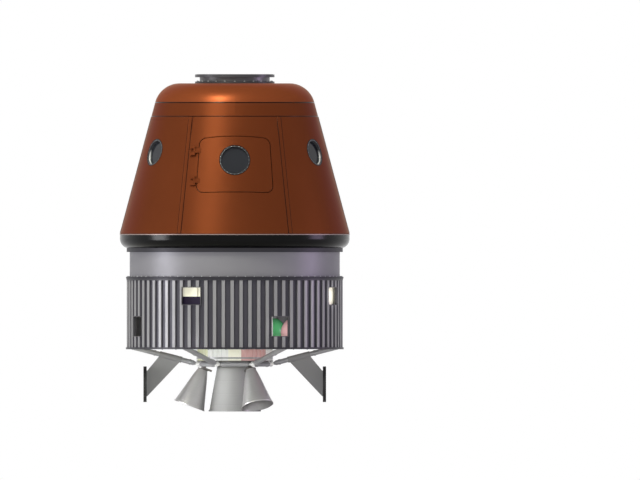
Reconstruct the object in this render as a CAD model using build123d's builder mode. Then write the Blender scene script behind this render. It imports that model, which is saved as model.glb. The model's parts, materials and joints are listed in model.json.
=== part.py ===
# A two-piece crew spacecraft: a conical crew capsule on a ribbed service module with four rocket nozzles.
# Millimetres. +Z is up, the origin is on the centre line at the main nozzle's exit, and the front is -Y.
# An azimuth is measured from the front, positive towards +X, as the viewer in front sees it.
from build123d import *
from math import asin, atan2, cos, pi, radians, sin, sqrt, tan
import os

# Crew capsule, outside
CREW_BASE_R = 1550
CREW_BASE_Z = 2396
CONE_H = 1778
CONE_TOP_R = 1075
CROWN_H = 257
WALL_T = 100
BAND_H = 188
PANEL_COUNT = 6
SEAM_W = 12

# Heat shield under the capsule
SHOULDER_RING_T = 12
SHOULDER_RING_LIP = 3
SHOULDER_STRAIGHT = 53
SHOULDER_R = 128
SHIELD_R = 4940
SHIELD_T = 80

# Side hatch, its doorway and its hinge
HATCH_RISE = 945
HATCH_LEN = 770
HATCH_TOP_W = 955
HATCH_BASE_W = 1067
HATCH_CORNER_R = 100
HATCH_T = 78
HATCH_GAP = 10
HATCH_DRAFT = 8
SILL_DEPTH = 84
SILL_LIP = 24
HINGE_R = 13
HINGE_PIN_R = 6
HINGE_SPREAD = 420
HINGE_SIDE = 12
HINGE_STAND = 7
HINGE_ARM_W = 60
HINGE_ARM_T = 16
HINGE_ARM_REACH = 100
HINGE_EAR_W = 30
HINGE_LEAF_W = 55
HINGE_END_GAP = 1

# Windows
HATCH_WINDOW_R = 205
HATCH_WINDOW_RISE = 53
SIDE_WINDOW_R = 182
SIDE_WINDOW_RISE = 1103
SIDE_WINDOW_AZ = 60
WINDOW_RIM_W = 18
WINDOW_SEAT_W = 34
WINDOW_SEAT_T = 14
WINDOW_GLASS_T = 16
WINDOW_GLASS_DEPTH = 44

# Docking ring and docking hatch
DOCK_H = 119
DOCK_R = 473
DOCK_FLANGE_R = 537
DOCK_FLANGE_T = 38
DOCK_FOOT_T = 24
DOCK_WALL_T = 33
DOCK_SEAT_T = 20
DOCK_BOLT_COUNT = 24
DOCK_BOLT_R = 6.5
DOCK_BOLT_PCD = 1010
TUNNEL_R = 345
LID_LAP = 20
LID_T = 38
LID_RIM_W = 30
LID_POCKET = 12
LID_RIB_COUNT = 8
LID_RIB_W = 14
LID_HUB_R = 70
LID_HUB_H = 20
LID_HINGE_Y = 388
LID_HINGE_LIFT = 12
LID_KNUCKLE_R = 17
LID_PIN_R = 9
LID_KNUCKLE_W = 130
LID_EAR_T = 16
LID_EAR_GAP = 1

# Adapter drum between the capsule and the service module
ADAPTER_INSET = 14
ADAPTER_T = 18
ADAPTER_FLANGE_W = 41
ADAPTER_FLANGE_T = 55
ADAPTER_FLANGE_IN = 40
ADAPTER_FOOT_W = 50
ADAPTER_FOOT_T = 25

# Service module drum
SERVICE_BASE_Z = 840
BASE_RING_T = 27
BASE_RING_W = 181
BASE_RING_LIP = 13
BASE_FOOT_T = 6
BASE_BOLT_COUNT = 36
BASE_BOLT_R = 5.5
BASE_BOLT_INSET = 47
SERVICE_WALL_H = 903
SKIN_R = 1432
SKIN_T = 12
HAT_H = 26
HAT_COUNT = 76
HAT_TOP_SHARE = 0.36
HAT_FOOT_SHARE = 0.58
HAT_PHASE = 3.4
QUARTERS = 4
TOP_RING_T = 25
TOP_RING_W = 132
TOP_RING_LIP = 4
UPPER_PORT_AZ = -24
UPPER_PORT_RISE = 719
UPPER_PORT_W = 272
UPPER_PORT_H = 230
LOWER_PORT_AZ = 25
LOWER_PORT_RISE = 310
LOWER_PORT_W = 250
LOWER_PORT_H = 262
PORT_SLEEVE_T = 8

# Decks, centre tube and what they carry
DECK_T = 20
MID_DECK_RISE = 470
TUBE_R = 500
TUBE_RIB_H = 14
TUBE_T = 12
TUBE_RIBS = 48
TUBE_FLANGE_LIP = 4
TUBE_FLANGE_BORE_R = 350
TUBE_FLANGE_T = 12
BULKHEAD_DROP = 75
TANK_R = 210
TANK_RING_R = 960
TANK_DROP = 242
TANK_PHASE = 15
TANK_COUNT = 8
CRADLE_R = 90
BOX_LEFT = -190
BOX_RIGHT = 250
BOX_SEAM = 60
BOX_SEAM_W = 16
BOX_DEPTH = 220
BOX_SETBACK = 40
BOX_TOP_LAP = 24
BOX_SPLIT_DROP = 7
BOX_CORNER_R = 6

# Thrust frame under the service module
FRAME_INSET = 15
FRAME_Z = 639
FRAME_TUBE_R = 34
FRAME_SIDES = 6
STRUT_R = 33
STRUT_FOOT_INSET = 177
BALL_STUB_R = 18
BALL_STUB_LEN = 42
ROD_TAPER_LEN = 34

# Main engine
MAIN_EXIT_R = 345
MAIN_SKIRT_R = 237
MAIN_SKIRT_Z = 603
MAIN_NECK_R = 100
MAIN_NECK_Z = 880
MAIN_WALL_T = 8
MAIN_LIP_W = 7
MAIN_LIP_H = 22
MAIN_THROAT_R = 82
MAIN_THROAT_Z = 930
MAIN_THROAT_DEPTH = 30
MAIN_COLLAR_W = 22
MAIN_CHAMBER_R = 135
MAIN_CHAMBER_Z = 1035
MAIN_FLANGE_R = 190
MAIN_FLANGE_T = 18

# Three side engines, canted outwards
SIDE_ENGINES = 3
SIDE_FIRST_AZ = 30
SIDE_CANT = 20.5
SIDE_EXIT_R = 213
SIDE_EXIT_CENTRE_R = 614
SIDE_SKIRT_R = 108
SIDE_SKIRT_LEN = 390
SIDE_NECK_R = 64
SIDE_LEN = 522
SIDE_WALL_T = 6
SIDE_LIP_W = 4
SIDE_LIP_H = 14
SIDE_FLOOR_GAP = 1
SIDE_FLANGE_R = 72
SIDE_FLANGE_T = 8
SIDE_BLOCK_IN = 122
SIDE_BLOCK_OUT = 10
SIDE_BLOCK_W = 66
SIDE_BLOCK_T = 28
SIDE_BLOCK_CORNER_R = 8
SIDE_POST_R = 30

# Two disc antennas on plate arms
ANTENNA_X = 1189
ANTENNA_Z = 368
ANTENNA_R = 241
ANTENNA_T = 44
ANTENNA_RIM_W = 20
ANTENNA_RIM_T = 30
ARM_T = 14
ARM_TOP_OUT = 1000
ARM_TOP_IN = 715
ARM_BASE_HIGH_Z = 552
ARM_BASE_LOW_Z = 205
ARM_FOOT_W = 90
ARM_FOOT_T = 8
SADDLE_T = 8
SADDLE_LEN = 310

# Cabin
FLOOR_RISE = 94
FLOOR_T = 40
COUCH_COUNT = 3
COUCH_PITCH = 490
COUCH_W = 440
COUCH_SHEET_T = 24
COUCH_BEND_R = 55
COUCH_BACK_RISE = 210
COUCH_HEAD_Y = -720
COUCH_HIP_Y = 180
COUCH_KNEE_Y = 330
COUCH_KNEE_RISE = 590
COUCH_HEEL_Y = 740
COUCH_TOE_RISE = 750
PAD_T = 62
PAD_SIDE = 18
PAD_GAP = 0.3
BEAM_INSET = 140
BEAM_W = 60
POST_R = 28
POST_FOOT_R = 60
POST_FOOT_T = 12
CONSOLE_W = 1240
CONSOLE_LEN = 420
CONSOLE_DEPTH = 150
CONSOLE_Y = 360
CONSOLE_RISE = 1040
CONSOLE_TILT = 35
CONSOLE_CORNER_R = 40
CONSOLE_BAY_W = 330
CONSOLE_BAY_LEN = 280
CONSOLE_BAY_DEPTH = 12
CONSOLE_BAY_CORNER_R = 20
CONSOLE_ARM_X = 380
CONSOLE_ARM_W = 50

FIT = 0.3
PIN_FIT = 0.1

# Derived sizes
CONE_TOP_Z = CREW_BASE_Z + CONE_H
SLOPE = (CREW_BASE_R - CONE_TOP_R) / CONE_H
CONE_ANGLE = atan2(CREW_BASE_R - CONE_TOP_R, CONE_H)
CROWN_TOP_Z = CONE_TOP_Z + CROWN_H
CROWN_ARC_R = CROWN_H / (1 - sin(CONE_ANGLE))
CROWN_CENTRE_R = CONE_TOP_R - CROWN_ARC_R * cos(CONE_ANGLE)
CROWN_CENTRE_Z = CROWN_TOP_Z - CROWN_ARC_R
PANEL_TOP_Z = CONE_TOP_Z - BAND_H
PANEL_ARC = 360 / PANEL_COUNT
SHIELD_RIM_Z = CREW_BASE_Z - SHOULDER_RING_T
SHOULDER_Z = SHIELD_RIM_Z - SHOULDER_STRAIGHT
SHIELD_ARC_R = CREW_BASE_R - SHOULDER_R
SHIELD_CENTRE_Z = SHOULDER_Z + sqrt((SHIELD_R - SHOULDER_R) ** 2 - SHIELD_ARC_R**2)
HATCH_Z = CREW_BASE_Z + HATCH_RISE
HATCH_WINDOW_Z = HATCH_Z + HATCH_WINDOW_RISE
SIDE_WINDOW_Z = CREW_BASE_Z + SIDE_WINDOW_RISE
FLOOR_Z = CREW_BASE_Z + FLOOR_RISE
BASE_RING_R = SKIN_R + HAT_H + BASE_RING_LIP
BASE_RING_INNER_R = BASE_RING_R - BASE_RING_W
BASE_FACE_Z = SERVICE_BASE_Z + BASE_FOOT_T
BASE_BOLT_PCD = 2 * (SKIN_R - BASE_BOLT_INSET)
TOP_RING_R = SKIN_R + HAT_H + TOP_RING_LIP
TOP_RING_INNER_R = TOP_RING_R - TOP_RING_W
ADAPTER_R = SKIN_R - ADAPTER_INSET
ADAPTER_FLANGE_R = ADAPTER_R + ADAPTER_FLANGE_W
ADAPTER_FOOT_R = ADAPTER_R + ADAPTER_FOOT_W
WALL_BASE_Z = SERVICE_BASE_Z + BASE_RING_T
WALL_TOP_Z = WALL_BASE_Z + SERVICE_WALL_H
TOP_RING_Z = WALL_TOP_Z
ADAPTER_FOOT_Z = TOP_RING_Z + TOP_RING_T
HAT_PITCH = 360 / HAT_COUNT
QUARTER_ARC = 360 / QUARTERS
HATS_PER_QUARTER = HAT_COUNT // QUARTERS
FIRST_SPLIT_AZ = HAT_PHASE + HAT_PITCH * (HATS_PER_QUARTER // 2 - 0.5)
UPPER_PORT_Z = SERVICE_BASE_Z + UPPER_PORT_RISE
LOWER_PORT_Z = SERVICE_BASE_Z + LOWER_PORT_RISE
UPPER_DECK_Z = WALL_TOP_Z - DECK_T
MID_DECK_Z = SERVICE_BASE_Z + MID_DECK_RISE
BULKHEAD_Z = MID_DECK_Z - BULKHEAD_DROP
TANK_Z = MID_DECK_Z - TANK_DROP
BOX_SPLIT_Z = UPPER_PORT_Z - BOX_SPLIT_DROP
BOX_TOP_Z = UPPER_PORT_Z + UPPER_PORT_H / 2 + BOX_TOP_LAP
BOX_FACE_R = SKIN_R - SKIN_T - BOX_SETBACK
TUBE_FLANGE_R = TUBE_R + TUBE_RIB_H + TUBE_FLANGE_LIP
FRAME_R = TUBE_R - FRAME_INSET
BALL_R = FRAME_TUBE_R
STRUT_FOOT_R = BASE_RING_R - STRUT_FOOT_INSET
STRUT_RISE = (BASE_FACE_Z - FRAME_Z) / (STRUT_FOOT_R - FRAME_R)
TUBE_BASE_Z = FRAME_Z + FRAME_TUBE_R + FIT + TUBE_FLANGE_T
DOCK_Z = CROWN_TOP_Z
DOCK_TOP_Z = DOCK_Z + DOCK_H
LID_Z = DOCK_Z + DOCK_SEAT_T + FIT
LID_R = TUNNEL_R + LID_LAP
LID_HINGE_Z = LID_Z + LID_T + LID_HINGE_LIFT
SIDE_EXIT_Z = (SIDE_EXIT_R + SIDE_LIP_W) * sin(radians(SIDE_CANT)) + SIDE_FLOOR_GAP
SIDE_STEP_AZ = 360 / SIDE_ENGINES


def cone_r(z):
    """Outside radius of the capsule's cone at a height."""
    return CREW_BASE_R - (z - CREW_BASE_Z) * SLOPE


def inside_r(z, depth=WALL_T):
    """Radius of the cone that lies a depth under the capsule's outside."""
    return cone_r(z) - depth / cos(CONE_ANGLE)


def polar(radius, azimuth, z=0):
    """A point at a radius and an azimuth from the front."""
    return (radius * sin(radians(azimuth)), -radius * cos(radians(azimuth)), z)


def radial_plane(azimuth):
    """The upright plane through the centre line, with its x axis pointing out at an azimuth."""
    out = polar(1, azimuth)
    return Plane(origin=(0, 0, 0), x_dir=out, z_dir=(out[1], -out[0], 0))


def wall_plane(azimuth, z):
    """The plane that touches the cone at an azimuth and height: x right, y up the slope, z outwards."""
    out = polar(cos(CONE_ANGLE), azimuth, sin(CONE_ANGLE))
    return Plane(origin=polar(cone_r(z), azimuth, z), x_dir=polar(1, azimuth + 90), z_dir=out)


def write(node, name):
    """Labels a finished piece and writes it."""
    node.part.label = name
    export_step(node.part, f"parts/{name}.step")
    print(name, len(node.part.solids()), round(node.part.volume / 1e6, 2), "litres")


def turned(profile_plane, points, arc=360):
    """A turned piece from a closed outline of straight runs, given as radius and height."""
    with BuildPart() as piece:
        with BuildSketch(profile_plane):
            with BuildLine():
                Polyline(*points, close=True)
            make_face()
        revolve(axis=Axis.Z, revolution_arc=arc)
    return piece.part


def capsule_wall(depth_out, depth_in, low_z, high_z, azimuth=0, arc=360):
    """A band of the capsule's wall between two depths, two heights and two azimuths."""
    slant_out, slant_in = depth_out / cos(CONE_ANGLE), depth_in / cos(CONE_ANGLE)
    middle = CONE_ANGLE / 2 + pi / 4
    with BuildPart() as piece:
        with BuildSketch(radial_plane(azimuth)):
            with BuildLine():
                ends = []
                for depth, slant in ((depth_out, slant_out), (depth_in, slant_in)):
                    arc_r = CROWN_ARC_R - depth
                    points = [
                        (CROWN_CENTRE_R + arc_r * cos(a), CROWN_CENTRE_Z + arc_r * sin(a))
                        for a in (CONE_ANGLE, middle, pi / 2)
                    ]
                    Line((CREW_BASE_R - slant, CREW_BASE_Z), points[0])
                    ThreePointArc(*points)
                    Line(points[2], (TUNNEL_R, CROWN_TOP_Z - depth))
                    ends.append(((CREW_BASE_R - slant, CREW_BASE_Z), (TUNNEL_R, CROWN_TOP_Z - depth)))
                Line(ends[0][0], ends[1][0])
                Line(ends[0][1], ends[1][1])
            make_face()
            with Locations((CREW_BASE_R / 2, (low_z + high_z) / 2)):
                Rectangle(3 * CREW_BASE_R, high_z - low_z, mode=Mode.INTERSECT)
        revolve(axis=Axis.Z, revolution_arc=arc)
    return piece.part


def hatch_prism(grow, low, high):
    """The hatch's rounded trapezoid as a block that narrows inwards, grown, between two depths."""
    plane = wall_plane(0, HATCH_Z)
    with BuildPart() as block:
        with BuildSketch(plane.offset(high)):
            reach = grow + high * tan(radians(HATCH_DRAFT))
            top, base, half = HATCH_TOP_W / 2 + reach, HATCH_BASE_W / 2 + reach, HATCH_LEN / 2 + reach
            with BuildLine():
                Polyline((-base, -half), (base, -half), (top, half), (-top, half), close=True)
            make_face()
            fillet(vertices(), HATCH_CORNER_R + reach)
        extrude(amount=high - low, dir=-plane.z_dir, taper=HATCH_DRAFT)
    return block.part


def round_cutter(azimuth, z, radius, low, high):
    """A cylinder along a window's axis between two levels, negative inwards."""
    with BuildPart() as cutter:
        with BuildSketch(wall_plane(azimuth, z).offset(low)):
            Circle(radius)
        extrude(amount=high - low)
    return cutter.part


def window_frame(azimuth, z, radius, wall_depth):
    """A window's ring, flush with the outer surface, with a seat behind the glass."""
    glass_back = -WINDOW_GLASS_DEPTH - WINDOW_GLASS_T
    shell = capsule_wall(0, wall_depth, CREW_BASE_Z, CONE_TOP_Z)
    with BuildPart() as ring:
        add(shell)
        add(round_cutter(azimuth, z, radius - FIT, -2 * WALL_T, WALL_T), mode=Mode.INTERSECT)
        add(round_cutter(azimuth, z, radius - WINDOW_RIM_W, -2 * WALL_T, WALL_T), mode=Mode.SUBTRACT)
        add(round_cutter(azimuth, z, radius - WINDOW_RIM_W, glass_back - WINDOW_SEAT_T, glass_back))
        add(round_cutter(azimuth, z, radius - WINDOW_SEAT_W, -2 * WALL_T, WALL_T), mode=Mode.SUBTRACT)
    return ring.part


def window_pane(azimuth, z, radius):
    """A window's glass, which lies on its ring's seat."""
    glass_back = -WINDOW_GLASS_DEPTH - WINDOW_GLASS_T
    return round_cutter(azimuth, z, radius - WINDOW_RIM_W - FIT, glass_back, -WINDOW_GLASS_DEPTH)


os.makedirs("parts", exist_ok=True)

# Docking ring: a flanged tunnel with a seat for its hatch and ears for the hatch's hinge
tunnel_wall_r = DOCK_R - DOCK_WALL_T
with BuildPart() as docking_ring:
    add(
        turned(
            Plane.XZ,
            [
                (TUNNEL_R, DOCK_Z),
                (DOCK_FLANGE_R, DOCK_Z),
                (DOCK_FLANGE_R, DOCK_Z + DOCK_FOOT_T),
                (DOCK_R, DOCK_Z + DOCK_FOOT_T),
                (DOCK_R, DOCK_TOP_Z - DOCK_FLANGE_T),
                (DOCK_FLANGE_R, DOCK_TOP_Z - DOCK_FLANGE_T),
                (DOCK_FLANGE_R, DOCK_TOP_Z),
                (tunnel_wall_r, DOCK_TOP_Z),
                (tunnel_wall_r, DOCK_Z + DOCK_SEAT_T),
                (TUNNEL_R, DOCK_Z + DOCK_SEAT_T),
            ],
        )
    )
    with Locations((0, 0, DOCK_TOP_Z)):
        with PolarLocations(DOCK_BOLT_PCD / 2, DOCK_BOLT_COUNT):
            Hole(DOCK_BOLT_R, depth=DOCK_FLANGE_T)
    ear_x = LID_KNUCKLE_W / 2 + LID_EAR_GAP
    for side in (-1, 1):
        with BuildSketch(Plane.YZ.offset(side * (ear_x + LID_EAR_T / 2))):
            with Locations((LID_HINGE_Y, LID_HINGE_Z)):
                Circle(LID_KNUCKLE_R)
            with Locations((LID_HINGE_Y, (LID_HINGE_Z + DOCK_Z + DOCK_SEAT_T) / 2)):
                Rectangle(2 * LID_KNUCKLE_R, LID_HINGE_Z - DOCK_Z - DOCK_SEAT_T)
        extrude(amount=LID_EAR_T / 2, both=True)
    with BuildSketch(Plane.YZ.offset(-ear_x - LID_EAR_T)):
        with Locations((LID_HINGE_Y, LID_HINGE_Z)):
            Circle(LID_PIN_R)
    extrude(amount=2 * (ear_x + LID_EAR_T))
write(docking_ring, "docking_ring")

# Docking hatch: a ribbed disc on the seat, with a knuckle on the ring's pin
with BuildPart() as docking_hatch:
    with BuildSketch(Plane.XY.offset(LID_Z)):
        Circle(LID_R)
    extrude(amount=LID_T)
    with BuildSketch(Plane.XY.offset(LID_Z + LID_T)):
        Circle(LID_R - LID_RIM_W)
        Circle(LID_HUB_R, mode=Mode.SUBTRACT)
        with PolarLocations(0, LID_RIB_COUNT):
            with Locations((LID_R / 2, 0)):
                Rectangle(LID_R, LID_RIB_W, mode=Mode.SUBTRACT)
    extrude(amount=-LID_POCKET, mode=Mode.SUBTRACT)
    with BuildSketch(Plane.XY.offset(LID_Z + LID_T)):
        Circle(LID_HUB_R)
    extrude(amount=LID_HUB_H)
    with BuildSketch(Plane.YZ.offset(-LID_KNUCKLE_W / 2)):
        with Locations((LID_HINGE_Y, LID_HINGE_Z)):
            Circle(LID_KNUCKLE_R)
        with BuildLine():
            Polyline(
                (LID_R - LID_RIM_W, LID_Z + LID_T / 2),
                (LID_HINGE_Y, LID_HINGE_Z - LID_KNUCKLE_R),
                (LID_HINGE_Y, LID_HINGE_Z + LID_KNUCKLE_R),
                (LID_R - 2 * LID_RIM_W, LID_Z + LID_T),
                close=True,
            )
        make_face()
        with Locations((LID_HINGE_Y, LID_HINGE_Z)):
            Circle(LID_PIN_R + PIN_FIT, mode=Mode.SUBTRACT)
    extrude(amount=LID_KNUCKLE_W)
write(docking_hatch, "docking_hatch")

# Crown and the band under it
with BuildPart() as crown_dome:
    add(capsule_wall(0, WALL_T, CONE_TOP_Z, CROWN_TOP_Z))
    crown_foot = crown_dome.edges().filter_by(GeomType.CIRCLE).group_by(Axis.Z)[0]
    chamfer(crown_foot.sort_by(Edge.radius)[-1], SEAM_W / 2)
write(crown_dome, "crown_dome")

with BuildPart() as upper_band:
    add(capsule_wall(0, WALL_T, PANEL_TOP_Z, CONE_TOP_Z))
    chamfer(upper_band.faces().sort_by(SortBy.AREA)[-1].edges().filter_by(GeomType.CIRCLE), SEAM_W / 2)
write(upper_band, "upper_band")

# The hatch, its doorway and the six wall panels
hatch_plane = wall_plane(0, HATCH_Z)
doorway = capsule_wall(-WALL_T, SILL_DEPTH, CREW_BASE_Z, CONE_TOP_Z, -PANEL_ARC / 2, PANEL_ARC)
doorway = doorway & hatch_prism(HATCH_GAP, -3 * WALL_T, 2 * WALL_T)
passage = hatch_prism(-SILL_LIP, -3 * WALL_T, 2 * WALL_T)
hatch_window_hole = round_cutter(0, HATCH_WINDOW_Z, HATCH_WINDOW_R, -2 * WALL_T, WALL_T)
PANELS = (
    # name, azimuth of its middle, azimuth of its window or None
    ("front_panel", 0, None),
    ("right_window_panel", 60, SIDE_WINDOW_AZ),
    ("right_rear_panel", 120, None),
    ("rear_panel", 180, None),
    ("left_rear_panel", -120, None),
    ("left_window_panel", -60, -SIDE_WINDOW_AZ),
)
for name, azimuth, window_azimuth in PANELS:
    with BuildPart() as panel:
        add(capsule_wall(0, WALL_T, CREW_BASE_Z, PANEL_TOP_Z, azimuth - PANEL_ARC / 2, PANEL_ARC))
        chamfer(panel.faces().sort_by(SortBy.AREA)[-1].edges(), SEAM_W / 2)
        if name == "front_panel":
            add(doorway, mode=Mode.SUBTRACT)
            add(passage, mode=Mode.SUBTRACT)
        if window_azimuth is not None:
            hole = round_cutter(window_azimuth, SIDE_WINDOW_Z, SIDE_WINDOW_R, -2 * WALL_T, WALL_T)
            add(hole, mode=Mode.SUBTRACT)
    write(panel, name)

# Hinge line of the crew hatch, parallel to the slope, in the hatch plane's own coordinates
hinge_low = -HINGE_SPREAD / 2 - HINGE_ARM_W / 2 - HINGE_EAR_W
hinge_x = -HATCH_BASE_W / 2 - HINGE_SIDE
hinge_cone_r = cone_r(HATCH_Z + hinge_low * cos(CONE_ANGLE))
hinge_w = -cos(CONE_ANGLE) * (hinge_cone_r - sqrt(hinge_cone_r**2 - hinge_x**2)) + HINGE_R + HINGE_STAND
near_wall = capsule_wall(-HATCH_GAP / 2, WALL_T, CREW_BASE_Z, CONE_TOP_Z, -PANEL_ARC / 2, PANEL_ARC)
near_wall = near_wall - hatch_prism(0, -3 * WALL_T, 2 * WALL_T)
hatch_inside = capsule_wall(HATCH_T / 2, 3 * WALL_T, CREW_BASE_Z, CONE_TOP_Z, -PANEL_ARC / 2, PANEL_ARC)


def hinge_section(along):
    """The plane across the hinge line at a distance along the slope, with x to the hatch and y inwards."""
    base = hatch_plane.offset(hinge_w)
    origin = base.from_local_coords((hinge_x, along, 0))
    return Plane(origin=origin, x_dir=base.x_dir, z_dir=-base.y_dir)


with BuildPart() as hinge_arms:
    for station in (-HINGE_SPREAD / 2, HINGE_SPREAD / 2):
        with BuildSketch(hinge_section(station + HINGE_ARM_W / 2)):
            Circle(HINGE_R)
            with Locations((HINGE_ARM_REACH / 2, 0)):
                Rectangle(HINGE_ARM_REACH, HINGE_ARM_T)
            Circle(HINGE_PIN_R + PIN_FIT, mode=Mode.SUBTRACT)
        extrude(amount=HINGE_ARM_W)
    add(near_wall, mode=Mode.SUBTRACT)
    add(hatch_inside, mode=Mode.SUBTRACT)

with BuildPart() as crew_hatch:
    add(capsule_wall(0, HATCH_T, CREW_BASE_Z, CONE_TOP_Z, -PANEL_ARC / 2, PANEL_ARC))
    add(hatch_prism(0, -3 * WALL_T, 2 * WALL_T), mode=Mode.INTERSECT)
    add(hatch_window_hole, mode=Mode.SUBTRACT)
    add(hinge_arms.part)
write(crew_hatch, "crew_hatch")

outer_skin = capsule_wall(-FIT, WALL_T, CREW_BASE_Z, CONE_TOP_Z, -PANEL_ARC / 2, PANEL_ARC)
ear_offset = HINGE_ARM_W / 2 + HINGE_END_GAP
with BuildPart() as hatch_hinge:
    for station in (-HINGE_SPREAD / 2, HINGE_SPREAD / 2):
        for ear_top in (station - ear_offset, station + ear_offset + HINGE_EAR_W):
            with BuildSketch(hinge_section(ear_top)):
                Circle(HINGE_R)
                with BuildLine():
                    Polyline(
                        (0, HINGE_R),
                        (0, -HINGE_R - HINGE_LEAF_W),
                        (-HINGE_LEAF_W, -HINGE_R - HINGE_LEAF_W),
                        (-HINGE_LEAF_W, -HINGE_R),
                        close=True,
                    )
                make_face()
            extrude(amount=HINGE_EAR_W)
        with BuildSketch(hinge_section(station + ear_offset + HINGE_EAR_W)):
            Circle(HINGE_PIN_R)
        extrude(amount=2 * (ear_offset + HINGE_EAR_W))
    add(outer_skin, mode=Mode.SUBTRACT)
write(hatch_hinge, "hatch_hinge")

# Window rings and glass
with BuildPart() as hatch_window_frame:
    add(window_frame(0, HATCH_WINDOW_Z, HATCH_WINDOW_R, HATCH_T))
write(hatch_window_frame, "hatch_window_frame")
with BuildPart() as hatch_window_glass:
    add(window_pane(0, HATCH_WINDOW_Z, HATCH_WINDOW_R))
write(hatch_window_glass, "hatch_window_glass")
with BuildPart() as side_window_frames:
    for azimuth in (-SIDE_WINDOW_AZ, SIDE_WINDOW_AZ):
        add(window_frame(azimuth, SIDE_WINDOW_Z, SIDE_WINDOW_R, WALL_T))
write(side_window_frames, "side_window_frames")
with BuildPart() as side_window_glass:
    for azimuth in (-SIDE_WINDOW_AZ, SIDE_WINDOW_AZ):
        add(window_pane(azimuth, SIDE_WINDOW_Z, SIDE_WINDOW_R))
write(side_window_glass, "side_window_glass")

# Ring at the capsule's foot, and the heat shield under it
with BuildPart() as shoulder_ring:
    add(
        turned(
            Plane.XZ,
            [
                (inside_r(CREW_BASE_Z), SHIELD_RIM_Z),
                (CREW_BASE_R + SHOULDER_RING_LIP, SHIELD_RIM_Z),
                (CREW_BASE_R + SHOULDER_RING_LIP, CREW_BASE_Z),
                (inside_r(CREW_BASE_Z), CREW_BASE_Z),
            ],
        )
    )
write(shoulder_ring, "shoulder_ring")


def shield_line(depth):
    """Points of the heat shield's outline at a depth: axis, cap's middle and end, shoulder's, rim."""
    cap_r, shoulder_r = SHIELD_R - depth, SHOULDER_R - depth
    lean = asin(SHIELD_ARC_R / (SHIELD_R - SHOULDER_R))
    middle = lean / 2 + pi / 4
    return [
        (0, SHIELD_CENTRE_Z - cap_r),
        (cap_r * sin(lean / 2), SHIELD_CENTRE_Z - cap_r * cos(lean / 2)),
        (cap_r * sin(lean), SHIELD_CENTRE_Z - cap_r * cos(lean)),
        (SHIELD_ARC_R + shoulder_r * sin(middle), SHOULDER_Z - shoulder_r * cos(middle)),
        (SHIELD_ARC_R + shoulder_r, SHOULDER_Z),
        (SHIELD_ARC_R + shoulder_r, SHIELD_RIM_Z),
    ]


with BuildPart() as heat_shield:
    with BuildSketch(Plane.XZ):
        with BuildLine():
            outer, inner = shield_line(0), shield_line(SHIELD_T)
            for line in (outer, inner):
                ThreePointArc(line[0], line[1], line[2])
                ThreePointArc(line[2], line[3], line[4])
                Line(line[4], line[5])
            Line(outer[0], inner[0])
            Line(outer[5], inner[5])
        make_face()
    revolve(axis=Axis.Z)
write(heat_shield, "heat_shield")

# Adapter drum: a foot, a wall and a flange that follows the heat shield
seat_r = SHIELD_R + FIT
flange_inner_r = ADAPTER_R - ADAPTER_T - ADAPTER_FLANGE_IN
seat_rs = (ADAPTER_FLANGE_R, (flange_inner_r + ADAPTER_FLANGE_R) / 2, flange_inner_r)
seat = [(r, SHIELD_CENTRE_Z - sqrt(seat_r**2 - r**2)) for r in seat_rs]
flange_z = seat[0][1] - ADAPTER_FLANGE_T
with BuildPart() as adapter_ring:
    with BuildSketch(Plane.XZ):
        with BuildLine():
            Polyline(
                seat[2],
                (flange_inner_r, flange_z),
                (ADAPTER_R - ADAPTER_T, flange_z),
                (ADAPTER_R - ADAPTER_T, ADAPTER_FOOT_Z),
                (ADAPTER_FOOT_R, ADAPTER_FOOT_Z),
                (ADAPTER_FOOT_R, ADAPTER_FOOT_Z + ADAPTER_FOOT_T),
                (ADAPTER_R, ADAPTER_FOOT_Z + ADAPTER_FOOT_T),
                (ADAPTER_R, flange_z),
                (ADAPTER_FLANGE_R, flange_z),
                seat[0],
            )
            ThreePointArc(*seat)
        make_face()
    revolve(axis=Axis.Z)
write(adapter_ring, "adapter_ring")

# Rings at the foot and the head of the service module; the lower one has a foot outside the struts
with BuildPart() as service_base_ring:
    with BuildSketch(Plane.XY.offset(BASE_FACE_Z)):
        Circle(BASE_RING_R)
        Circle(BASE_RING_INNER_R, mode=Mode.SUBTRACT)
        with PolarLocations(BASE_BOLT_PCD / 2, BASE_BOLT_COUNT, 180 / BASE_BOLT_COUNT):
            Circle(BASE_BOLT_R, mode=Mode.SUBTRACT)
    extrude(amount=WALL_BASE_Z - BASE_FACE_Z)
    with BuildSketch(Plane.XY.offset(SERVICE_BASE_Z)):
        Circle(BASE_RING_R)
        Circle(SKIN_R, mode=Mode.SUBTRACT)
    extrude(amount=BASE_FOOT_T)
write(service_base_ring, "service_base_ring")
with BuildPart() as service_top_ring:
    with BuildSketch(Plane.XY.offset(TOP_RING_Z)):
        Circle(TOP_RING_R)
        Circle(TOP_RING_INNER_R, mode=Mode.SUBTRACT)
    extrude(amount=TOP_RING_T)
write(service_top_ring, "service_top_ring")

# Ports of the service module's wall
PORT_ROWS = (
    # azimuth of the first, height of the middle, width and height of the opening
    (UPPER_PORT_AZ, UPPER_PORT_Z, UPPER_PORT_W, UPPER_PORT_H),
    (LOWER_PORT_AZ, LOWER_PORT_Z, LOWER_PORT_W, LOWER_PORT_H),
)
PORTS = [(first + i * QUARTER_ARC, z, w, h) for first, z, w, h in PORT_ROWS for i in range(QUARTERS)]


def port_block(port, grow):
    """A block that crosses the wall at a port, grown all round."""
    azimuth, z, width, height = port
    start = polar(SKIN_R / 2, azimuth, z)
    with BuildPart() as block:
        with BuildSketch(Plane(origin=start, x_dir=polar(1, azimuth + 90), z_dir=polar(1, azimuth))):
            Rectangle(width + 2 * grow, height + 2 * grow)
        extrude(amount=SKIN_R)
    return block.part


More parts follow.
